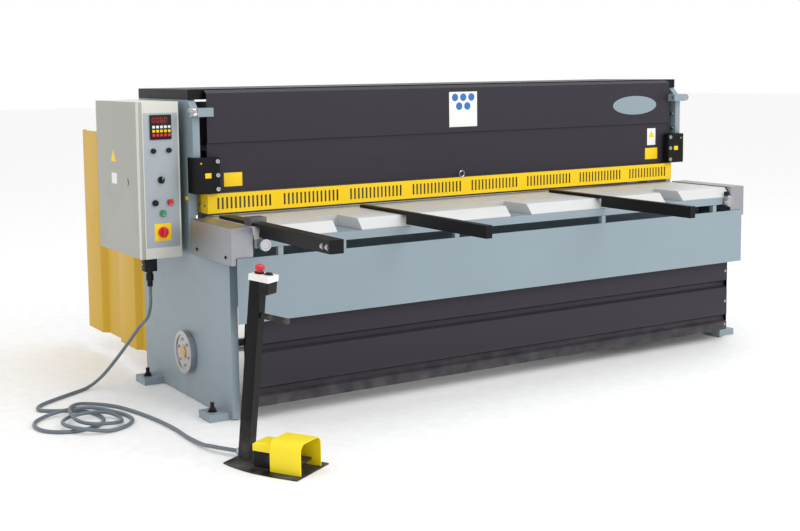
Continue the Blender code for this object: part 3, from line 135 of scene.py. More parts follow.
# Places on the cable's middle line; x is counted from the left side frame's outer face.
CABLE_ROUTE = np.array((
    (-0.154, 0.428, 0.3720), (-0.151, 0.472, 0.3300), (-0.155, 0.545, 0.2850), (-0.172, 0.635, 0.2050),
    (-0.202, 0.715, 0.1200), (-0.245, 0.765, 0.0480), (-0.305, 0.765, 0.0105), (-0.390, 0.715, 0.0074),
    (-0.485, 0.655, 0.0074), (-0.556, 0.600, 0.0074), (-0.576, 0.540, 0.0074), (-0.532, 0.496, 0.0074),
    (-0.472, 0.462, 0.0074), (-0.422, 0.400, 0.0074), (-0.404, 0.320, 0.0074), (-0.422, 0.240, 0.0074),
    (-0.490, 0.186, 0.0074), (-0.572, 0.186, 0.0074), (-0.636, 0.236, 0.0074), (-0.656, 0.312, 0.0074),
    (-0.634, 0.386, 0.0074), (-0.572, 0.430, 0.0120), (-0.492, 0.432, 0.0215), (-0.415, 0.405, 0.0230),
    (-0.352, 0.355, 0.0120), (-0.317, 0.285, 0.0074), (-0.320, 0.205, 0.0074), (-0.370, 0.140, 0.0074),
    (-0.445, 0.112, 0.0090), (-0.520, 0.135, 0.0200), (-0.566, 0.200, 0.0230), (-0.566, 0.275, 0.0200),
    (-0.524, 0.332, 0.0190), (-0.455, 0.345, 0.0215), (-0.390, 0.318, 0.0225), (-0.355, 0.262, 0.0130),
    (-0.366, 0.198, 0.0110), (-0.420, 0.164, 0.0200), (-0.482, 0.180, 0.0240), (-0.517, 0.240, 0.0260),
    (-0.520, 0.318, 0.0350), (-0.498, 0.396, 0.0370), (-0.445, 0.462, 0.0290), (-0.372, 0.478, 0.0140),
    (-0.312, 0.430, 0.0076), (-0.283, 0.350, 0.0074), (-0.260, 0.250, 0.0074), (-0.242, 0.130, 0.0074),
    (-0.232, 0.000, 0.0074), (-0.234, -0.130, 0.0076), (-0.230, -0.245, 0.0120), (-0.222, -0.298, 0.0180),
))
CABLE_DROPS = (0.0, 0.030, 0.058)     # the cable hangs straight for this far below its plug
PLUG_AT = (-1.455, 0.412, 0.4704)       # the plug's lower end
LEAN = math.radians(6.0)                # how far the pedestal's post leans forward
POST_X, POST_Y = 0.049, -0.031          # foot of the post's middle line on the base
POST_HALF_Y = 0.0225
GLAND_L, GLAND_Z = 0.016, 0.019
# The gland's open end, measured from the pedestal base's rear edge.
GLAND_END = POST_Y + POST_HALF_Y - GLAND_Z * math.tan(LEAN) + GLAND_L
GLAND_GAP = 0.0003


def on_pedestal(x, y, z):
    """A place on the pedestal's own plan, turned with it and moved to where it stands."""
    turn = np.array(((math.cos(PEDESTAL_TURN), -math.sin(PEDESTAL_TURN)),
                     (math.sin(PEDESTAL_TURN), math.cos(PEDESTAL_TURN))))
    return at(*(np.array(PEDESTAL_AT) + turn @ np.array((x, y), float)), z)


def smooth_line(knots, steps):
    """A cubic blend through the knots; the slope at a knot is half the step between its two neighbours."""
    knots = np.vstack((2 * knots[0] - knots[1], knots, 2 * knots[-1] - knots[-2]))
    before, start, end, after = (knots[k:len(knots) - 3 + k, None] for k in range(4))
    t = np.arange(steps)[None, :, None] / steps
    blend = 0.5 * (2 * start + (end - before) * t + (2 * before - 5 * start + 4 * end - after) * t ** 2
                   + (3 * start - before - 3 * end + after) * t ** 3)
    return np.vstack((blend.reshape(-1, 3), knots[-2]))


approach = np.array([on_pedestal(POST_X, GLAND_END + away, GLAND_Z)
                     for away in (5 * CABLE_D, 2 * CABLE_D, GLAND_GAP)])
hanging = np.array([at(PLUG_AT[0], PLUG_AT[1], PLUG_AT[2] - drop) for drop in CABLE_DROPS])
lying = CABLE_ROUTE + ORIGIN - (HALF, 0.0, 0.0)
cable_line = smooth_line(np.vstack((hanging, lying, approach)), CABLE_STEPS)
cable_length = float(np.linalg.norm(np.diff(cable_line, axis=0), axis=1).sum())
cable_curve = bpy.data.curves.new("control_cable", "CURVE")
cable_curve.dimensions = "3D"
cable_curve.bevel_depth = 1.0       # times each point's own radius
cable_curve.bevel_resolution = 3
cable_curve.use_fill_caps = True
strand = cable_curve.splines.new("POLY")
strand.points.add(len(cable_line) - 1)
strand.points.foreach_set("co", np.hstack((cable_line, np.ones((len(cable_line), 1)))).ravel())
strand.points.foreach_set("radius", np.full(len(cable_line), CABLE_D / 2))
cable = bpy.data.objects.new("control_cable", cable_curve)
bpy.context.scene.collection.objects.link(cable)
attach(cable, "machine")
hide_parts("pedestal_cable")
print("cable is", round(cable_length, 3), "m long")

# %% [markdown]
# ## Shader maths that reads like sums
# A finish is a little calculation on the place of a point: how cloudy, how worn, how dusty. The class below lets
# it be written as sums, and each sum adds its Math node. Colours go through a Mix node instead, because a Math
# node would turn them grey.


# %% A value in a shader, and a finish
class Value:
    """The output of a node, which adds a Math node when it is used in a sum."""

    def __init__(self, finish, socket):
        self.finish, self.socket = finish, socket

    def sum(self, operation, first, second):
        return self.finish.node("ShaderNodeMath", {0: first, 1: second}, operation=operation)

    def __add__(self, other):
        return self.sum("ADD", self, other)

    def __mul__(self, other):
        return self.sum("MULTIPLY", self, other)

    def __sub__(self, other):
        return self.sum("SUBTRACT", self, other)

    def __rsub__(self, other):
        return self.sum("SUBTRACT", other, self)

    __radd__, __rmul__ = __add__, __mul__


class Finish:
    """A material under construction: its Principled shader and the coordinates its patterns read."""

    def __init__(self, name):
        self.material = bpy.data.materials.new(name)
        self.material.use_nodes = True
        self.tree = self.material.node_tree
        self.shader = self.tree.nodes["Principled BSDF"]
        self.place = self.node("ShaderNodeTexCoord", out="Object")

    def plug(self, socket, value):
        """Join a value to a socket, or set the socket if the value is a plain number or colour."""
        if isinstance(value, Value):
            self.tree.links.new(value.socket, socket)
        elif socket.type == "RGBA":
            socket.default_value = (*value[:3], 1.0)
        else:
            socket.default_value = value

    def node(self, kind, inputs=None, out=0, stops=None, **settings):
        """A node of any kind: its settings first, then the values or links of its sockets."""
        made = self.tree.nodes.new(kind)
        for key, value in settings.items():
            setattr(made, key, value)
        for place, (position, shade) in enumerate(stops or ()):
            stop = made.color_ramp.elements[place] if place < 2 else made.color_ramp.elements.new(position)
            stop.position, stop.color = position, (shade, shade, shade, 1.0)
        for key, value in (inputs or {}).items():
            self.plug(made.inputs[key], value)
        return Value(self, made.outputs[out])

    def mix(self, share, first, second):
        """A colour between two others."""
        return self.node("ShaderNodeMix", {"Factor": share, 6: first, 7: second}, out=2, data_type="RGBA")

    def cloud(self, scale, detail=3.0, stretch=(1.0, 1.0, 1.0)):
        """Soft noise of a scale (patches per metre), drawn out along an axis by a stretch."""
        moved = self.node("ShaderNodeMapping", {"Vector": self.place, "Scale": stretch})
        return self.node("ShaderNodeTexNoise", {"Vector": moved, "Scale": scale, "Detail": detail})

    def between(self, value, low, high):
        """0 below low and 1 above high, with an even rise between them."""
        return self.node("ShaderNodeMapRange", {0: value, 1: low, 2: high})

    def height(self):
        """How high a point is above the floor."""
        return self.node("ShaderNodeSeparateXYZ", {0: self.place}, out=2)

    def relief(self, value, depth, strength=1.0):
        """A surface normal from a height map, its depth in metres."""
        bump = self.node("ShaderNodeBump", {"Height": value, "Distance": depth, "Strength": strength}, out=0)
        self.set(Normal=bump)

    def set(self, **values):
        """Set or join the shader's own sockets, an underscore standing for a space."""
        for key, value in values.items():
            self.plug(self.shader.inputs[key.replace("_", " ")], value)
        return self


def tint(colour, amount):
    """A colour made lighter or darker by a factor."""
    return tuple(min(1.0, part * amount) for part in colour)


# %% [markdown]
# ## Paint
# Machine paint is sprayed. Its skin has a fine orange peel, its colour drifts slightly over a metre, it has
# small dull marks where hands and sheets rub it, and dust settles near the floor. A structured powder coat is
# the same thing with a coarser, sharper peel.

# %% Painted metal
FLOOR_DUST = (0.30, 0.28, 0.25)


def painted(name, colour, roughness=0.38, peel=350.0, peel_depth=0.00004, coat=0.0, dust=0.35):
    """Paint: colour drifts with broad noise, rub marks raise the roughness, dust fades out above the floor."""
    made = Finish(name)
    drift = made.cloud(1.6)
    marks = made.between(made.cloud(9.0, 6.0, (0.5, 1.0, 1.6)), 0.58, 0.72)
    speck = made.between(made.cloud(160.0, 2.0), 0.68, 0.76)
    paint = made.mix(drift, tint(colour, 0.93), tint(colour, 1.06))
    paint = made.mix(speck * 0.12, paint, tint(colour, 0.6))
    low = (1 - made.between(made.height(), 0.0, 0.14)) * made.between(made.cloud(14.0, 5.0), 0.35, 0.7)
    made.set(Base_Color=made.mix(low * dust, paint, FLOOR_DUST),
             Roughness=marks * 0.10 + drift * 0.06 + low * 0.25 + (roughness - 0.03), Coat_Weight=coat)
    made.relief(made.cloud(peel, 2.0), peel_depth, 0.6)
    return made


pale_blue = painted("pale_blue_paint_sprayed", (0.235, 0.300, 0.340), 0.36)
charcoal = painted("charcoal_paint_textured", (0.030, 0.026, 0.036), 0.44, 700.0, 0.00006)
charcoal.set(Specular_IOR_Level=0.20)
black_paint = painted("black_paint_satin", (0.006, 0.006, 0.007), 0.40)
black_paint.set(Specular_IOR_Level=0.15)
yellow = painted("yellow_paint_glossy", (0.90, 0.60, 0.004), 0.32, coat=0.05)
yellow.set(Specular_IOR_Level=0.3)
# Painted shade: the rear guards are the finger guard's yellow, made darker here to stand in for the shade on
# their sides.
painted_shade_yellow = painted("yellow_paint_sprayed_painted_shade", (0.62, 0.37, 0.008), 0.42)
cream = painted("cream_powder_coat", (0.62, 0.615, 0.56), 0.42, 600.0, 0.00006)
# Painted shade: the door is the cabinet's cream powder coat, made darker here to stand in for the shade on its
# side.
painted_shade_door_cream = painted("door_cream_in_painted_shade", (0.36, 0.36, 0.325), 0.42, 600.0, 0.00006)
panel_grey = painted("control_plate_print", (0.36, 0.40, 0.43), 0.32, 900.0, 0.00001)

# %% [markdown]
# ## Bare metal
# Grinding and brushing leave parallel scratches. Noise that is drawn out a hundred times along one axis gives
# them, as relief and as bands of duller and brighter metal. Oiled castings are darker and blotchy, and chrome
# keeps only faint wipe marks.


# %% Steel, chrome and brass
def steel(name, colour, roughness, stretch=(1.0, 1.0, 1.0), scratch=900.0, depth=0.00002, stain=0.5):
    """Metal: fine scratches along the axis of least stretch, broad stains that dull it."""
    made = Finish(name)
    lines = made.cloud(scratch, 3.0, stretch)
    broad = made.between(made.cloud(5.0, 5.0), 0.42, 0.72)
    metal = made.mix(lines, tint(colour, 0.88), tint(colour, 1.10))
    made.set(Base_Color=made.mix(broad * stain * 0.5, metal, tint(colour, 0.72)), Metallic=1.0,
             Roughness=lines * 0.10 + broad * (0.12 * stain) + (roughness - 0.05))
    made.relief(lines, depth, 0.5)
    return made


ground = steel("ground_table_steel", (0.60, 0.61, 0.61), 0.46, (0.01, 1.0, 1.0), 700.0, stain=0.25)
ground.set(Metallic=0.20)
blade = steel("ground_blade_steel", (0.56, 0.56, 0.57), 0.22, (0.01, 1.0, 1.0))
brushed = steel("brushed_cover_steel", (0.36, 0.37, 0.40), 0.36, (1.0, 1.0, 0.015), 800.0)
forged = steel("oiled_forged_steel", (0.17, 0.17, 0.18), 0.42, scratch=90.0, depth=0.0002)
chrome = steel("polished_chrome", (0.46, 0.46, 0.47), 0.16, scratch=60.0, depth=0.000004, stain=0.2)
brass = steel("turned_brass", (0.62, 0.42, 0.17), 0.28, scratch=300.0)

# %% [markdown]
# ## Plastic, rubber and the cable's sheath
# Moulded plastic has a fine spark-eroded grain. Rubber is duller and picks up dust. The sheath of a cable is
# smoother, with long faint drag marks.


# %% Moulded finishes
def moulded(name, colour, roughness=0.40, grain=1400.0, depth=0.00003, dust=0.1):
    """Plastic or rubber: an even grain, and pale dust in patches."""
    made = Finish(name)
    skin = made.cloud(grain, 2.0)
    dusty = made.between(made.cloud(30.0, 5.0), 0.5, 0.75)
    shade = made.mix(skin, tint(colour, 0.9), tint(colour, 1.1))
    made.set(Base_Color=made.mix(dusty * dust, shade, FLOOR_DUST),
             Roughness=skin * 0.08 + dusty * 0.1 + roughness)
    made.relief(skin, depth, 0.5)
    return made


black_plastic = moulded("black_plastic_moulded", (0.008, 0.008, 0.009))
black_plastic.set(Specular_IOR_Level=0.2)
yellow_plastic = moulded("yellow_plastic_moulded", (0.98, 0.74, 0.006), 0.35, dust=0.03)
white_plastic = moulded("white_plastic_moulded", (0.80, 0.80, 0.78), dust=0.05)
red_plastic = moulded("red_plastic_moulded", (0.62, 0.012, 0.03), 0.22, dust=0.02)
green_plastic = moulded("green_plastic_moulded", (0.015, 0.30, 0.11), 0.25, dust=0.02)
rubber = moulded("black_rubber_moulded", (0.012, 0.012, 0.012), 0.65, 600.0, 0.00006, 0.25)
sheath = moulded("grey_cable_sheath", (0.13, 0.16, 0.19), 0.42, 300.0, 0.00004, 0.25)
floor_sheet = moulded("pale_floor_sheet", (0.96, 0.96, 0.96), 0.6, 20.0, 0.00001, 0.0)
cable_curve.materials.append(sheath.material)
floor_mesh.materials.append(floor_sheet.material)
print(len(bpy.data.materials), "finishes")

# %% [markdown]
# ## Shapes from arrays
# Every new piece is one of five surfaces, each worked out as an array: a turned piece, a slab with rounded
# corners, a flat plate, a bent rod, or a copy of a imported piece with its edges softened.


# %% Surfaces
def grid(points):
    """Quads between the neighbours of a grid of points whose columns close round."""
    index = np.arange(points.shape[0] * points.shape[1]).reshape(points.shape[:2])
    turned = np.roll(index, -1, axis=1)
    quads = np.stack((index[:-1], turned[:-1], turned[1:], index[1:]), axis=-1).reshape(-1, 4)
    return points.reshape(-1, 3), quads.tolist()


def lathe(profile, steps=32, ripple=None):
    """A turned piece: each (radius, height) of the profile goes round the Z axis, its radius times a ripple."""
    profile = np.array(profile, float)
    angle = np.arange(steps) * 2 * np.pi / steps
    radius = profile[:, :1] * np.ones((1, steps))
    if ripple is not None:
        radius = radius * ripple(angle[None, :], profile[:, 1:])
    height = profile[:, 1:] + np.zeros((1, steps))
    return grid(np.stack((radius * np.cos(angle), radius * np.sin(angle), height), axis=-1))


def slab(low, high, radius, steps=3):
    """A block with rounded edges: the eight parts of a ball, pushed apart to the corners of a smaller block."""
    low, high = np.minimum(low, high), np.maximum(low, high)
    core, middle = (high - low) / 2 - radius, (high + low) / 2
    quarter = np.linspace(0, np.pi / 2, steps + 1)
    around = (quarter[None, :] + np.arange(4)[:, None] * np.pi / 2).ravel()
    corner = np.repeat(((1, 1), (-1, 1), (-1, -1), (1, -1)), steps + 1, axis=0)
    rise = np.concatenate((-quarter[::-1], quarter))
    side = np.repeat((-1, 1), steps + 1)
    x = corner[None, :, 0] * core[0] + radius * np.cos(rise)[:, None] * np.cos(around)[None]
    y = corner[None, :, 1] * core[1] + radius * np.cos(rise)[:, None] * np.sin(around)[None]
    z = (side * core[2] + radius * np.sin(rise))[:, None] + np.zeros_like(x)
    points, quads = grid(np.stack((x, y, z), axis=-1) + middle)
    columns = 4 * (steps + 1)
    last = (len(rise) - 1) * columns
    first = [k * (steps + 1) for k in range(4)]
    return points, quads + [first[::-1], [last + k for k in first]]


def plate(outline, axis, span):
    """A flat outline with a thickness. Its points are (y, z) for X, (x, z) for Y and (x, y) for Z."""
    outline = np.array(outline, float)
    order = {"X": (2, 0, 1), "Y": (0, 2, 1), "Z": (0, 1, 2)}[axis]
    count = len(outline)
    both = np.vstack([np.column_stack((outline, np.full(count, level)))[:, order] for level in sorted(span)])
    ring = np.arange(count)
    walls = np.stack((ring, np.roll(ring, -1), np.roll(ring, -1) + count, ring + count), axis=-1)
    return both, walls.tolist() + [ring[::-1].tolist(), (ring + count).tolist()]


def rod(line, radius, sides=10):
    """A round section carried along a line of points; the first and last rings close to a point."""
    line = np.array(line, float)
    ahead = np.gradient(line, axis=0)
    ahead /= np.linalg.norm(ahead, axis=1)[:, None]
    helper = np.where(np.abs(ahead[:, 2:]) < 0.9, (0.0, 0.0, 1.0), (0.0, 1.0, 0.0))
    across = np.cross(ahead, helper)
    across /= np.linalg.norm(across, axis=1)[:, None]
    up = np.cross(across, ahead)
    angle = np.arange(sides) * 2 * np.pi / sides
    ring = np.cos(angle)[None, :, None] * across[:, None] + np.sin(angle)[None, :, None] * up[:, None]
    rings = line[:, None] + radius * ring
    ends = [np.repeat(line[k][None, None], sides, axis=1) for k in (0, -1)]
    return grid(np.concatenate((ends[0], rings, ends[1])))


def placed(shape, place, along=(0, 0, 1), turn=0.0):
    """A shape made round the Z axis, turned so that Z points along a direction, and moved to a place."""
    spin = Vector(along).to_track_quat("Z", "Y").to_matrix() @ Matrix.Rotation(turn, 3, "Z")
    return shape[0] @ np.array(spin).T + np.array(place, float), shape[1]


def hexagon(angle):
    """How a circle's radius changes to make it a hexagon with the same corners."""
    return math.cos(math.pi / 6) / np.cos(np.mod(angle, math.pi / 3) - math.pi / 6)


# %% [markdown]
# A piece gathers such shapes into one mesh, closes its seams, turns its faces outwards and rides on a body of
# the machine.


# %% Make a piece
piece_count = 0


def piece(name, shapes, body, finish, stands_for=(), bevel=0.0, smooth=35.0):
    """One object from several shapes, on a body, in a finish."""
    global piece_count
    points, faces, start = [], [], 0
    for some_points, some_faces in shapes:
        points.append(some_points)
        faces += [[corner + start for corner in face] for face in some_faces]
        start += len(some_points)
    mesh = bpy.data.meshes.new(name)
    mesh.from_pydata(np.vstack(points).tolist(), [], faces)
    bm = bmesh.new()
    bm.from_mesh(mesh)
    bmesh.ops.remove_doubles(bm, verts=bm.verts, dist=0.000001)
    bmesh.ops.recalc_face_normals(bm, faces=bm.faces)
    bm.to_mesh(mesh)
    bm.free()
    return settle(name, mesh, body, finish, stands_for, bevel, smooth)


def settle(name, mesh, body, finish, stands_for, bevel, smooth):
    """Shade a mesh, round its edges with a Bevel and hand it to a body."""
    global piece_count
    mesh.materials.clear()
    mesh.materials.append(finish.material)
    mesh.shade_smooth()
    mesh.set_sharp_from_angle(angle=math.radians(smooth))
    made = bpy.data.objects.new(name, mesh)
    bpy.context.scene.collection.objects.link(made)
    if bevel:
        rounding = made.modifiers.new("rounded_edges", "BEVEL")
        rounding.width, rounding.segments = bevel, 2
        rounding.limit_method, rounding.angle_limit = "ANGLE", math.radians(30)
        rounding.use_clamp_overlap = True
        rounding.harden_normals = True
    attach(made, body)
    if stands_for:
        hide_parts(*stands_for)
    piece_count += 1
    return made


BODY_OF = {node: body for body, nodes in frame["record"]["behaviour"]["bodies"].items() for node in nodes}


def softened(node, finish, bevel):
    """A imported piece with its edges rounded: a merged copy whose flat faces are joined, with a Bevel."""
    bm = bmesh.new()
    bm.from_mesh(frame["nodes"][node].data)
    bmesh.ops.remove_doubles(bm, verts=bm.verts, dist=0.00001)
    bmesh.ops.dissolve_limit(bm, angle_limit=math.radians(0.5), verts=bm.verts, edges=bm.edges)
    mesh = bpy.data.meshes.new(node + "_soft")
    bm.to_mesh(mesh)
    bm.free()
    return settle(node + "_soft", mesh, BODY_OF[node], finish, (node,), bevel, 35.0)


# %% [markdown]
# ## The plate work, with its edges rounded
# Thick plates are cut and ground, so their edges are broken by a millimetre or two. Sheet covers are folded and
# have a smaller radius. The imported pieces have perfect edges, which never catch the light, so each of them
# gets a copy with a radius that suits how it was made.

# %% Plates, covers and beams
PLATE_EDGE, SHEET_EDGE, FINE_EDGE = 0.0016, 0.0007, 0.0004
for node, finish, edge in (
        ("side_frame_left", pale_blue, PLATE_EDGE), ("side_frame_right", pale_blue, PLATE_EDGE),
        ("bed", pale_blue, PLATE_EDGE), ("table", ground, FINE_EDGE), ("front_panel", pale_blue, SHEET_EDGE),
        ("lower_front_cover", charcoal, SHEET_EDGE), ("lower_blade", blade, FINE_EDGE),
        ("upper_blade", blade, FINE_EDGE), ("ram_beam", charcoal, PLATE_EDGE),
        ("ram_lower_cover", charcoal, SHEET_EDGE), ("ram_upper_cover", charcoal, SHEET_EDGE),
        ("hold_down_beam", forged, PLATE_EDGE), ("guide_block_left", black_paint, PLATE_EDGE),
        ("guide_block_right", black_paint, PLATE_EDGE), ("top_cover", black_paint, SHEET_EDGE),
        ("end_cover_left", brushed, SHEET_EDGE), ("end_cover_right", brushed, SHEET_EDGE),
        ("finger_guard", yellow, FINE_EDGE), ("squaring_arm", black_paint, PLATE_EDGE),
        ("middle_arm", black_paint, PLATE_EDGE), ("right_arm", black_paint, PLATE_EDGE),
        ("sliding_stop", forged, FINE_EDGE), ("back_gauge_beam", brushed, PLATE_EDGE),
        # the rear guards take the darker yellow, which is painted shade
        ("rear_guard_left", painted_shade_yellow, FINE_EDGE), ("rear_guard_right", painted_shade_yellow, FINE_EDGE),
        ("gearbox", forged, 0.004), ("connecting_rod_left", forged, PLATE_EDGE),
        ("connecting_rod_right", forged, PLATE_EDGE), ("crankshaft", blade, FINE_EDGE),
        # the cabinet door takes the darker cream, which is painted shade
        ("drive_belt", rubber, FINE_EDGE), ("cabinet_body", cream, SHEET_EDGE), ("cabinet_door", painted_shade_door_cream,
                                                                                 PLATE_EDGE),
        ("pedestal_stand", black_paint, SHEET_EDGE)):
    softened(node, finish, edge)
print("rounded", piece_count, "packed pieces")

# %% [markdown]
# ## Fixings
# Screws and bolts are all turned shapes. A hexagon head is a circle whose radius shrinks between six corners, and
# a knurled knob is a circle with many small waves. Each is made round the Z axis and then pointed outwards.


# %% Small turned shapes
def disc(radius, height, soft=0.0008):
    """A low cylinder with a rounded upper edge."""
    return lathe(((0, 0), (radius, 0), (radius, height - soft), (radius - soft, height), (0, height)), 24)


def hex_head(radius, height):
    """A bolt's hexagon head on its washer."""
    head = lathe(((0, 0), (radius, 0), (radius, height * 0.8), (radius * 0.85, height), (0, height)), 24,
                 lambda angle, height: hexagon(angle))
    return [lathe(((0, -0.001), (radius * 1.25, -0.001), (radius * 1.25, 0.0006), (0, 0.0006)), 24), head]


def socket_head(radius, height):
    """A screw with a round head and a recess for a key."""
    return [lathe(((0, 0), (radius, 0), (radius, height * 0.8), (radius * 0.9, height), (radius * 0.45, height),
                   (radius * 0.45, height * 0.4), (0, height * 0.4)), 24)]


def ring(inner, outer, low, high, steps=32, ripple=None):
    """A ring with a rectangular section."""
    return lathe(((inner, low), (outer, low), (outer, high), (inner, high), (inner, low)), steps, ripple)


def fixings(name, shapes, places, along, body, finish):
    """Several copies of a fixing as one piece."""
    piece(name, [placed(shape, at(*place), along) for place in places for shape in shapes], body, finish)


def block(x, y, z, radius=0.0003):
    """A slab between two places measured from the machine's own zero."""
    return slab(at(x[0], y[0], z[0]), at(x[1], y[1], z[1]), radius)


def knurl(teeth, depth, above=0.0):
    """A wave round the part of a knob above a height; its crests keep the full radius."""
    return lambda angle, height: 1 - depth * (height > above) * (0.5 - 0.5 * np.cos(teeth * angle))


# %% Frames, covers and screws
for side, sign in (("left", -1), ("right", 1)):
    softened("bearing_cap_" + side, chrome, 0.0015)
    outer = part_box("bearing_cap_" + side)[0 if sign < 0 else 1][0]
    hub = (outer, *at(0, 0.414, 0.189)[1:])
    heading = (sign, 0, 0)
    piece(f"cap_rim_{side}", [placed(ring(0.070, 0.0865, -0.001, 0.004, 48), hub, heading)], "machine",
          chrome, bevel=0.0006)
    around = np.arange(6) * np.pi / 3 + 0.3
    piece(f"cap_screws_{side}", [placed(shape, np.array(hub) + (0, 0.052 * math.cos(a), 0.052 * math.sin(a)),
                                        heading)
                                 for a in around for shape in socket_head(0.006, 0.005)], "machine",
          chrome)
    piece(f"cap_centre_{side}", [placed(disc(0.024, 0.004), hub, heading)], "machine", brass)
    fixings(f"levelling_bolts_{side}", hex_head(0.015, 0.012) + [disc(0.008, 0.034)],
            [(sign * 1.352, y, 0.0298) for y in (0.072, 0.742)], (0, 0,
                                                                  1), "machine", black_plastic)
    fixings(f"end_cover_screws_{side}", socket_head(0.0065, 0.003), [(sign * 1.327, y, 0.628) for y in (0.235,
                                                                                                        -0.030)],
            heading, "machine", black_plastic)
    fixings(f"skirt_screws_{side}", socket_head(0.006, 0.003),
            [(sign * 1.248, -0.049, z) for z in (0.078, 0.190, 0.335, 0.405)], (0, -1,
                                                                                0), "machine", chrome)
    fixings(f"guide_bolts_{side}", socket_head(0.009, 0.006), [(sign * 1.210, 0.285, z) for z in (0.850,
                                                                                                  0.905, 0.959)],
            (0, -1, 0), "machine", chrome)
    piece(f"guide_label_{side}", [block((sign * 1.250 - 0.013, sign * 1.250 + 0.013), (0.2844, 0.2856),
                                        (0.894, 0.914))],
          "machine", yellow)
    fixings(f"oil_nipple_{side}", [disc(0.004, 0.004)], [(sign * 1.280, 0.285, 0.953)], (0, -1, 0), "machine",
            brass)
    piece(f"throat_plate_{side}", [block(sorted((sign * 1.262, sign * 1.269)), (0.373, 0.560), (0.742, 0.860),
                                         0.001)],
          "machine", pale_blue)
    fixings(f"pillar_bolts_{side}", hex_head(0.008, 0.006), [(sign * 1.270, 0.335, z) for z in (1.000, 1.071)],
            (-sign, 0, 0), "machine", chrome)
    fixings(f"yellow_stud_{side}", [disc(0.009, 0.006)], [(sign * HALF, 0.384, 0.812)], heading, "machine",
            yellow)
    fixings(f"guard_end_screws_{side}", socket_head(0.006, 0.003), [(sign * 1.244, y, 0.782) for y in (0.335,
                                                                                                       0.385)],
            heading, "machine", chrome)
    body = f"{side}_gap_screw"
    head = lathe(((0, -0.0297), (0.0096, -0.0297), (0.0100, -0.0285), (0.0100, 0), (0.0245, 0.0001), (0.0245,
                                                                                                      0.0255),
                  (0.0225, 0.0277), (0.0150, 0.0277), (0.0140, 0.0262), (0, 0.0262)), 160, knurl(40, 0.07))
    piece(f"gap_screw_{side}_turned", [placed(head, at(sign * 1.204, -0.0903, 0.6735), (0, -1, 0))], body,
          chrome, (f"gap_screw_{side}",))
    piece(f"gap_screw_bracket_{side}", [block((sign * 1.204 - 0.012, sign * 1.204 + 0.012), (-0.098, -0.0855),
                                              (0.6995, 0.7200), 0.002)], "machine", black_paint)
    knob = lathe(((0, -0.056), (0.0082, -0.056), (0.0090, -0.0545), (0.0090, 0), (0.0165, 0.0001), (0.0170,
                                                                                                    0.002),
                  (0.0170, 0.027), (0.0150, 0.0298), (0, 0.0298)), 144, knurl(36, 0.06))
    piece(f"lock_pin_{side}_turned", [placed(knob, at(sign * 1.2923, 0.290, 1.152), heading)],
          f"{side}_lock_pin",
          chrome, (f"lock_pin_{side}",))
    fixings(f"arm_end_bolts_{side}", hex_head(0.008, 0.006), [(-1.189 + sign * 0.027, y, 0.722)
                                                              for y in (-0.600, -0.565)],
            heading, "machine", chrome)

# %% [markdown]
# ## Labels and plates
# The labels carry no words: plain yellow fields, a plain oval plate and a white sheet with five blue discs. A
# steel ring sits on the finger guard's upper edge.

# %% Labels
loop = np.arange(33) * np.pi / 16
piece("guard_ring", [rod([at(-0.027 + 0.013 * math.cos(a), 0.3085 - 0.003, 0.845 + 0.013 * math.sin(a))
                          for a in loop],
                         0.0022)], "machine", chrome)
blue = painted("blue_label_print", (0.02, 0.14, 0.42), 0.4, 900.0, 0.00001)
piece("safety_sheet", [block((-0.083, 0.067), (0.3190, 0.3204), (1.052, 1.206))], "ram",
      white_plastic)
piece("safety_discs", [placed(disc(0.017, 0.0006, 0.0002), at(x, 0.3190, z), (0, -1, 0))
                       for x, z in ((-0.052, 1.182), (-0.008, 1.182), (0.036, 1.182), (-0.030, 1.143), (0.014,
                             1.143))], "ram", blue)
oval = [(1.0075 + 0.1395 * math.cos(a), 1.12 + 0.045 * math.sin(a)) for a in np.arange(48) * np.pi / 24]
oval = [(x + ORIGIN[0], z) for x, z in oval]
piece("oval_plate", [plate(oval, "Y", (at(0, 0.3180, 0)[1], at(0, 0.3205, 0)[1]))], "ram",
      pale_blue,
      bevel=0.0006)


def triangle(x, z, size):
    """An upright triangle with its middle at a place, for a plate across Y."""
    return [(x + ORIGIN[0] + size * math.cos(a), z + size * math.sin(a)) for a in np.radians((90, 210, 330))]


for side, sign in (("left", -1), ("right", 1)):
    x = sign * 1.125
    piece(f"yellow_field_{side}", [block((x - 0.040, x + 0.040), (0.3270, 0.3284), (0.853, 0.908))], "ram",
          yellow)
piece("white_label", [block((1.098, 1.152), (0.3270, 0.3284), (0.922, 1.004))], "ram",
      white_plastic)
piece("warning_triangle", [plate(triangle(1.125, 0.972, 0.022), "Y", (at(0, 0.3262, 0)[1], at(0, 0.3275,
                                                                                              0)[1]))], "ram",
      yellow)

# %% [markdown]
# ## The control cabinet's front and door
# From the top: a counter with four red digits and its keys, two small adjusters, a selector, another adjuster
# beside the stop button, the start button, and the red main switch on its yellow plate. A digit is made of seven
# short bars, of which a zero lights six.

# %% Cabinet controls
FACE = 0.3738             # where the controls stand on the printed plate
OUTWARD = (0, -1, 0)


def digit(x, z, width, height, bar):
    """The six lit bars of a zero."""
    upright = [block((x + dx, x + dx + bar), (0.3644, 0.3656), (z + dz, z + dz + height / 2 - bar), 0.0003)
               for dx in (0, width - bar) for dz in (bar / 2, height / 2 + bar / 2)]
    level = [block((x + bar, x + width - bar), (0.3644, 0.3656), (z + dz, z + dz + bar), 0.0003)
             for dz in (0, height - bar)]
    return upright + level


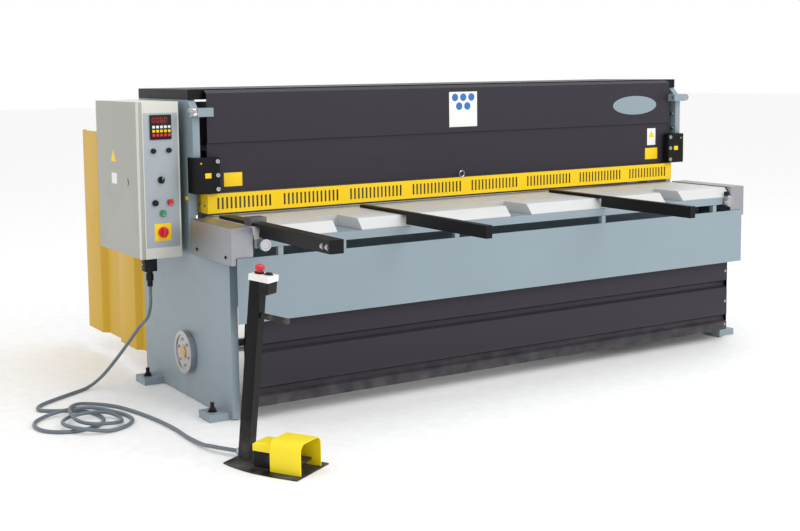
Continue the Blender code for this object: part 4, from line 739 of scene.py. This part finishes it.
piece("control_plate", [block((-1.477, -1.338), (0.3741, 0.3752), (0.626, 1.152))], "machine",
      panel_grey)
piece("counter_case", [block((-1.452, -1.364), (0.3658, 0.3738), (1.049, 1.145), 0.003)], "machine",
      black_plastic, ("counter_display",))
piece("counter_digits", [bar for k in range(4) for bar in digit(-1.444 + 0.0165 * k, 1.116, 0.0105, 0.018,
                                                                0.0016)],
      "machine", red_plastic)
for name, row, finish, slot in (("white_keys", 1.098, white_plastic, "white_plastic"),
                                ("yellow_keys", 1.082, yellow, "yellow_paint"),
                                ("red_keys", 1.066, red_plastic, "red_plastic")):
    piece("counter_" + name, [block((x, x + 0.011), (0.3640, 0.3662), (row - 0.005, row + 0.005), 0.0009)
                              for x in (-1.444, -1.428, -1.412, -1.396, -1.380)], "machine", finish)
for name, x, z, radius in (("upper_left", -1.440, 1.005, 0.010), ("upper_right", -1.376, 1.006, 0.010),
                           ("lower_left", -1.438, 0.802, 0.012)):
    cap = lathe(((0, 0), (radius, 0), (radius, 0.010), (radius * 0.85, 0.014), (0, 0.014)), 96, knurl(24, 0.07))
    piece(f"adjuster_{name}", [placed(cap, at(x, FACE, z), OUTWARD)], "machine", black_plastic)
for node, x, z, finish, slot in (("start_button", -1.407, 0.761, green_plastic, "green_plastic"),
                                 ("stop_button", -1.376, 0.802, red_plastic, "red_plastic")):
    cap = lathe(((0, -0.0030), (0.0106, -0.0030), (0.0110, -0.0024), (0.0110, 0.0100), (0.0100, 0.0116),
                 (0.0085, 0.0108),
                 (0, 0.0104)), 40)
    piece(node + "_cap", [placed(cap, at(x, FACE, z), OUTWARD)], BODY_OF[node], finish, (node,))
    piece(node + "_bezel", [placed(ring(0.0122, 0.0155, -0.001, 0.0042), at(x, FACE, z), OUTWARD)], "machine",
          chrome, bevel=0.0005)
grip = [lathe(((0, 0), (0.0138, 0), (0.0138, 0.006), (0.0125, 0.0078), (0, 0.0078)), 40)]
piece("mode_selector_knob", [placed(grip[0], at(-1.411, FACE, 0.891), OUTWARD),
                             block((-1.4148, -1.4072), (FACE - 0.0198, FACE - 0.004), (0.8785, 0.9035), 0.002)],
      "selector", black_plastic, ("mode_selector",))
piece("mode_selector_line", [block((-1.4117, -1.4103), (FACE - 0.0203, FACE - 0.019), (0.893, 0.9025), 0.0002)],
      "selector", white_plastic)
piece("main_switch_plate", [block((-1.443, -1.375), (0.3736, 0.3746), (0.652, 0.720), 0.0004)], "machine",
      yellow)
knob = lathe(((0, 0.0005), (0.0208, 0.0005), (0.0208, 0.008), (0.0190, 0.0100), (0, 0.0100)), 60)
piece("main_switch_handle", [placed(knob, at(-1.409, FACE, 0.686), OUTWARD),
                             block((-1.4145, -1.4035), (FACE - 0.0258, FACE - 0.006), (0.6665, 0.7055), 0.003)],
      "main_switch", red_plastic, ("main_switch_knob",))

# %% Door and connector
door_low, door_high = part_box("cabinet_door")
skin = door_low[0]
ahead = at(0, 0.664, 0)[1]
piece("door_folded_edge", [slab((skin - 0.0008, door_low[1], door_low[2]), (skin + 0.002, door_low[1] + 0.020,
                                                                            door_high[2]),
                                0.0004)], "door", cream)
corners = [(ahead + 0.034 * math.cos(a), 0.969 + 0.034 * math.sin(a)) for a in np.radians((90, 210, 330))]
piece("door_triangle", [plate(corners, "X", (skin - 0.0006, skin + 0.001))], "door", yellow)
piece("door_label", [slab((skin - 0.0005, ahead - 0.033, 0.862), (skin + 0.001, ahead + 0.027, 0.906),
                          0.0003)], "door",
      white_plastic)
barrel = lathe(((0, -0.0117), (0.0126, -0.0117), (0.0126, 0), (0.0128, 0.0001), (0.0128, 0.0028), (0.0115,
                                                                                                   0.0039),
                (0.0085, 0.0039), (0.0080, 0.0030), (0, 0.0030)), 48)
lock_low, lock_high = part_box("door_lock")
lock_middle = (np.array(lock_low) + np.array(lock_high)) / 2
# The profile is 15.6 mm long, 3.9 mm of it in front of the door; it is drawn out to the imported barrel's length.
draw = (lock_high[0] - lock_low[0]) / 0.0156
barrel = (barrel[0] * (1, 1, draw), barrel[1])
piece("door_lock_barrel", [placed(barrel, (lock_low[0] + 0.0039 * draw, lock_middle[1], lock_middle[2]), (-1,
                                                                                                          0, 0))],
      "door_lock_barrel", chrome, ("door_lock",))
# The key slot is a black bar: painted shade for the dark inside of the slot in the chrome barrel.
piece("door_key_slot", [slab((lock_low[0] + 0.0004, lock_middle[1] - 0.0008, lock_middle[2] - 0.005),
                             (lock_low[0] + 0.0014, lock_middle[1] + 0.0008, lock_middle[2] + 0.005), 0.0003)],
      "door_lock_barrel", black_plastic)
hood_low, hood_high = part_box("cable_connector")
plug = lathe(((0, -0.1120), (0.0090, -0.1120), (0.0110, -0.1100), (0.0110, -0.0900), (0.0150, -0.0880),
              (0.0150, -0.0640),
              (0.0125, -0.0620), (0.0125, -0.0500), (0, -0.0500)), 96, knurl(12, 0.0))
plug = (plug[0] * (1, 1, (hood_high[2] - hood_low[2]) / 0.112), plug[1])
piece("connector_hood", [block((-1.481, -1.429), (0.392, 0.432), (0.531, 0.5827), 0.004),
                         placed(plug, (at(-1.455, 0, 0)[0], at(0, 0.412, 0)[1], hood_high[2]), (0, 0,
                                                                                                1))], "machine",
      black_plastic, ("cable_connector",))
fixings("connector_pegs", [disc(0.004, 0.004)], [(-1.481, 0.412, 0.560)], (-1, 0, 0), "machine",
        chrome)

# %% [markdown]
# ## Pedestal, buttons and foot switch
# The pedestal's post leans towards the operator, so the two buttons and the grip are worked out along the post
# and then leaned and turned with it; the box and the lid are rounded copies. The foot switch stands on the base
# without the lean.

# %% Pedestal
BASE_MIDDLE = 0.0025      # half the base plate's thickness, where the post starts
LID_TOP = 0.6413          # the lid's upper face, measured along the post
STOP_Y, PRESS_Y = -0.003, -0.040        # middles of the mushroom and of the round button
turn_base = np.array(Matrix.Rotation(PEDESTAL_TURN, 3, "Z"))
turn_post = turn_base @ np.array(Matrix.Rotation(LEAN, 3, "X"))


def on_base(*shapes):
    """Shapes worked out on the pedestal's base, turned with it."""
    return [(points @ turn_base.T + on_pedestal(0, 0, 0), faces) for points, faces in shapes]


def on_post(*shapes):
    """Shapes worked out along the post's middle line, leaned and turned with it."""
    return [(points @ turn_post.T + on_pedestal(POST_X, POST_Y, BASE_MIDDLE), faces) for points,
            faces in shapes]


softened("button_box", black_plastic, 0.003)
softened("button_box_lid", white_plastic, 0.0025)
softened("foot_switch_body", black_plastic, 0.004)
softened("foot_switch_hood", yellow_plastic, 0.001)
piece("hood_cap", on_base(slab((-0.0355, -0.203, 0.0603), (0.0555, -0.1115, 0.0885), 0.0135, 5)), "machine",
      yellow_plastic)
piece("switch_gland", on_base(placed(lathe(((0, 0), (0.0105, 0), (0.0105, 0.010), (0.0080, 0.012), (0.0080,
                                                                                                    0.024),
                                            (0, 0.024)), 24), (0.030, -0.116, 0.030), (0, 1,
                                                                                       0))), "machine",
      chrome)
mushroom = lathe(((0, -0.0088), (0.0105, -0.0088), (0.0108, 0.0128), (0.0150, 0.0136), (0.0168, 0.0160),
                  (0.0170, 0.0205),
                  (0.0158, 0.0262), (0.0110, 0.0294), (0.0050, 0.0300), (0, 0.0300)), 48)
piece("stop_mushroom_turned", on_post(placed(mushroom, (0, STOP_Y, LID_TOP))), "stop_mushroom",
      red_plastic, ("emergency_stop",))
piece("stop_collar", on_post(placed(ring(0.0121, 0.0165, -0.001, 0.0055), (0, STOP_Y, LID_TOP))), "machine",
      black_plastic, bevel=0.0006)
cap = lathe(((0, -0.0088), (0.0119, -0.0088), (0.0123, -0.0080), (0.0123, 0.0062), (0.0112, 0.0078), (0.0080,
                                                                                                      0.0072),
             (0, 0.0068)), 48)
piece("round_button", on_post(placed(cap, (0, PRESS_Y, LID_TOP))), "pedestal_cap",
      black_plastic,
      ("pedestal_button",))
piece("round_button_bezel", on_post(placed(ring(0.0133, 0.0160, -0.001, 0.0030), (0, PRESS_Y, LID_TOP))),
      "machine",
      chrome, bevel=0.0004)
ridges = [(0.0105 - 0.0008 * (k % 2), -0.026 - 0.0025 * k) for k in range(40)][::-1]
handle = lathe([(0, -0.1308), (0.0085, -0.1308), *ridges[1:], (0.0100, -0.0263), (0, -0.0263)], 32)
piece("hand_grip_ribbed", on_post(placed(handle, (0, 0, 0.500), (0, 1, 0))), "machine", rubber,
      ("hand_grip",))
gland = lathe(((0.0113, 0), (0.0140, 0), (0.0140, 0.010), (0.0113, 0.010), (0.0113, 0)), 24,
              lambda angle, height: hexagon(angle) * 1.0)
piece("gland_nut", on_base(placed(gland, (POST_X, GLAND_END - 0.013, GLAND_Z), (0, 1, 0))), "machine",
      chrome)
pedal = slab((-0.032, -0.292, 0.0300), (0.052, -0.2075, 0.0395), 0.003)
piece("pedal_plate", on_base(pedal), "pedal", black_paint, ("foot_pedal",))
piece("pedal_ridges", on_base(*[slab((-0.026, y, 0.0390), (0.046, y + 0.004, 0.0404), 0.0006)
                                for y in np.arange(-0.283, -0.225, 0.0095)]), "pedal", rubber)
piece("pedal_edges", on_base(*[slab((x, -0.290, 0.0320), (x + 0.0014, -0.212, 0.0385), 0.0005)
                               for x in (-0.0328, 0.0514)]),
      "pedal", chrome)
print("pieces so far", piece_count)

# %% [markdown]
# ## Drive, behind the machine
# The motor has cooling fins and a fan cover. The flywheel and its pulley are machined castings.

# %% Drive and gauge
softened("flywheel", forged, 0.002)
softened("motor_pulley", forged, 0.001)
softened("motor", pale_blue, 0.003)
softened("gauge_rail_left", chrome, 0.0008)
softened("gauge_rail_right", chrome, 0.0008)
fins = lathe(((0.080, 0), (0.094, 0.004), (0.094, 0.176), (0.080, 0.180), (0.080, 0)), 144, knurl(36, 0.10,
                                                                                                  -1.0))
piece("motor_fins", [placed(fins, at(0.630, 0.760, 0.530), (1, 0, 0))], "machine", pale_blue)
fan = lathe(((0, 0), (0.070, 0), (0.090, 0.012), (0.0925, 0.036), (0.080, 0.036), (0.080, 0.020), (0, 0.020)),
            48)
piece("fan_cover", [placed(fan, at(0.588, 0.760, 0.530), (1, 0, 0))], "machine", black_paint)
around = np.arange(6) * np.pi / 3
piece("flywheel_bolts", [placed(shape, at(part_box("flywheel")[1][0] - ORIGIN[0], 0.620 + 0.050 * math.cos(a),
                                          0.300 + 0.050 * math.sin(a)), (1, 0, 0)) for a in around
                         for shape in hex_head(0.007, 0.006)], "flywheel_wheel", blade)
print("pieces", piece_count)
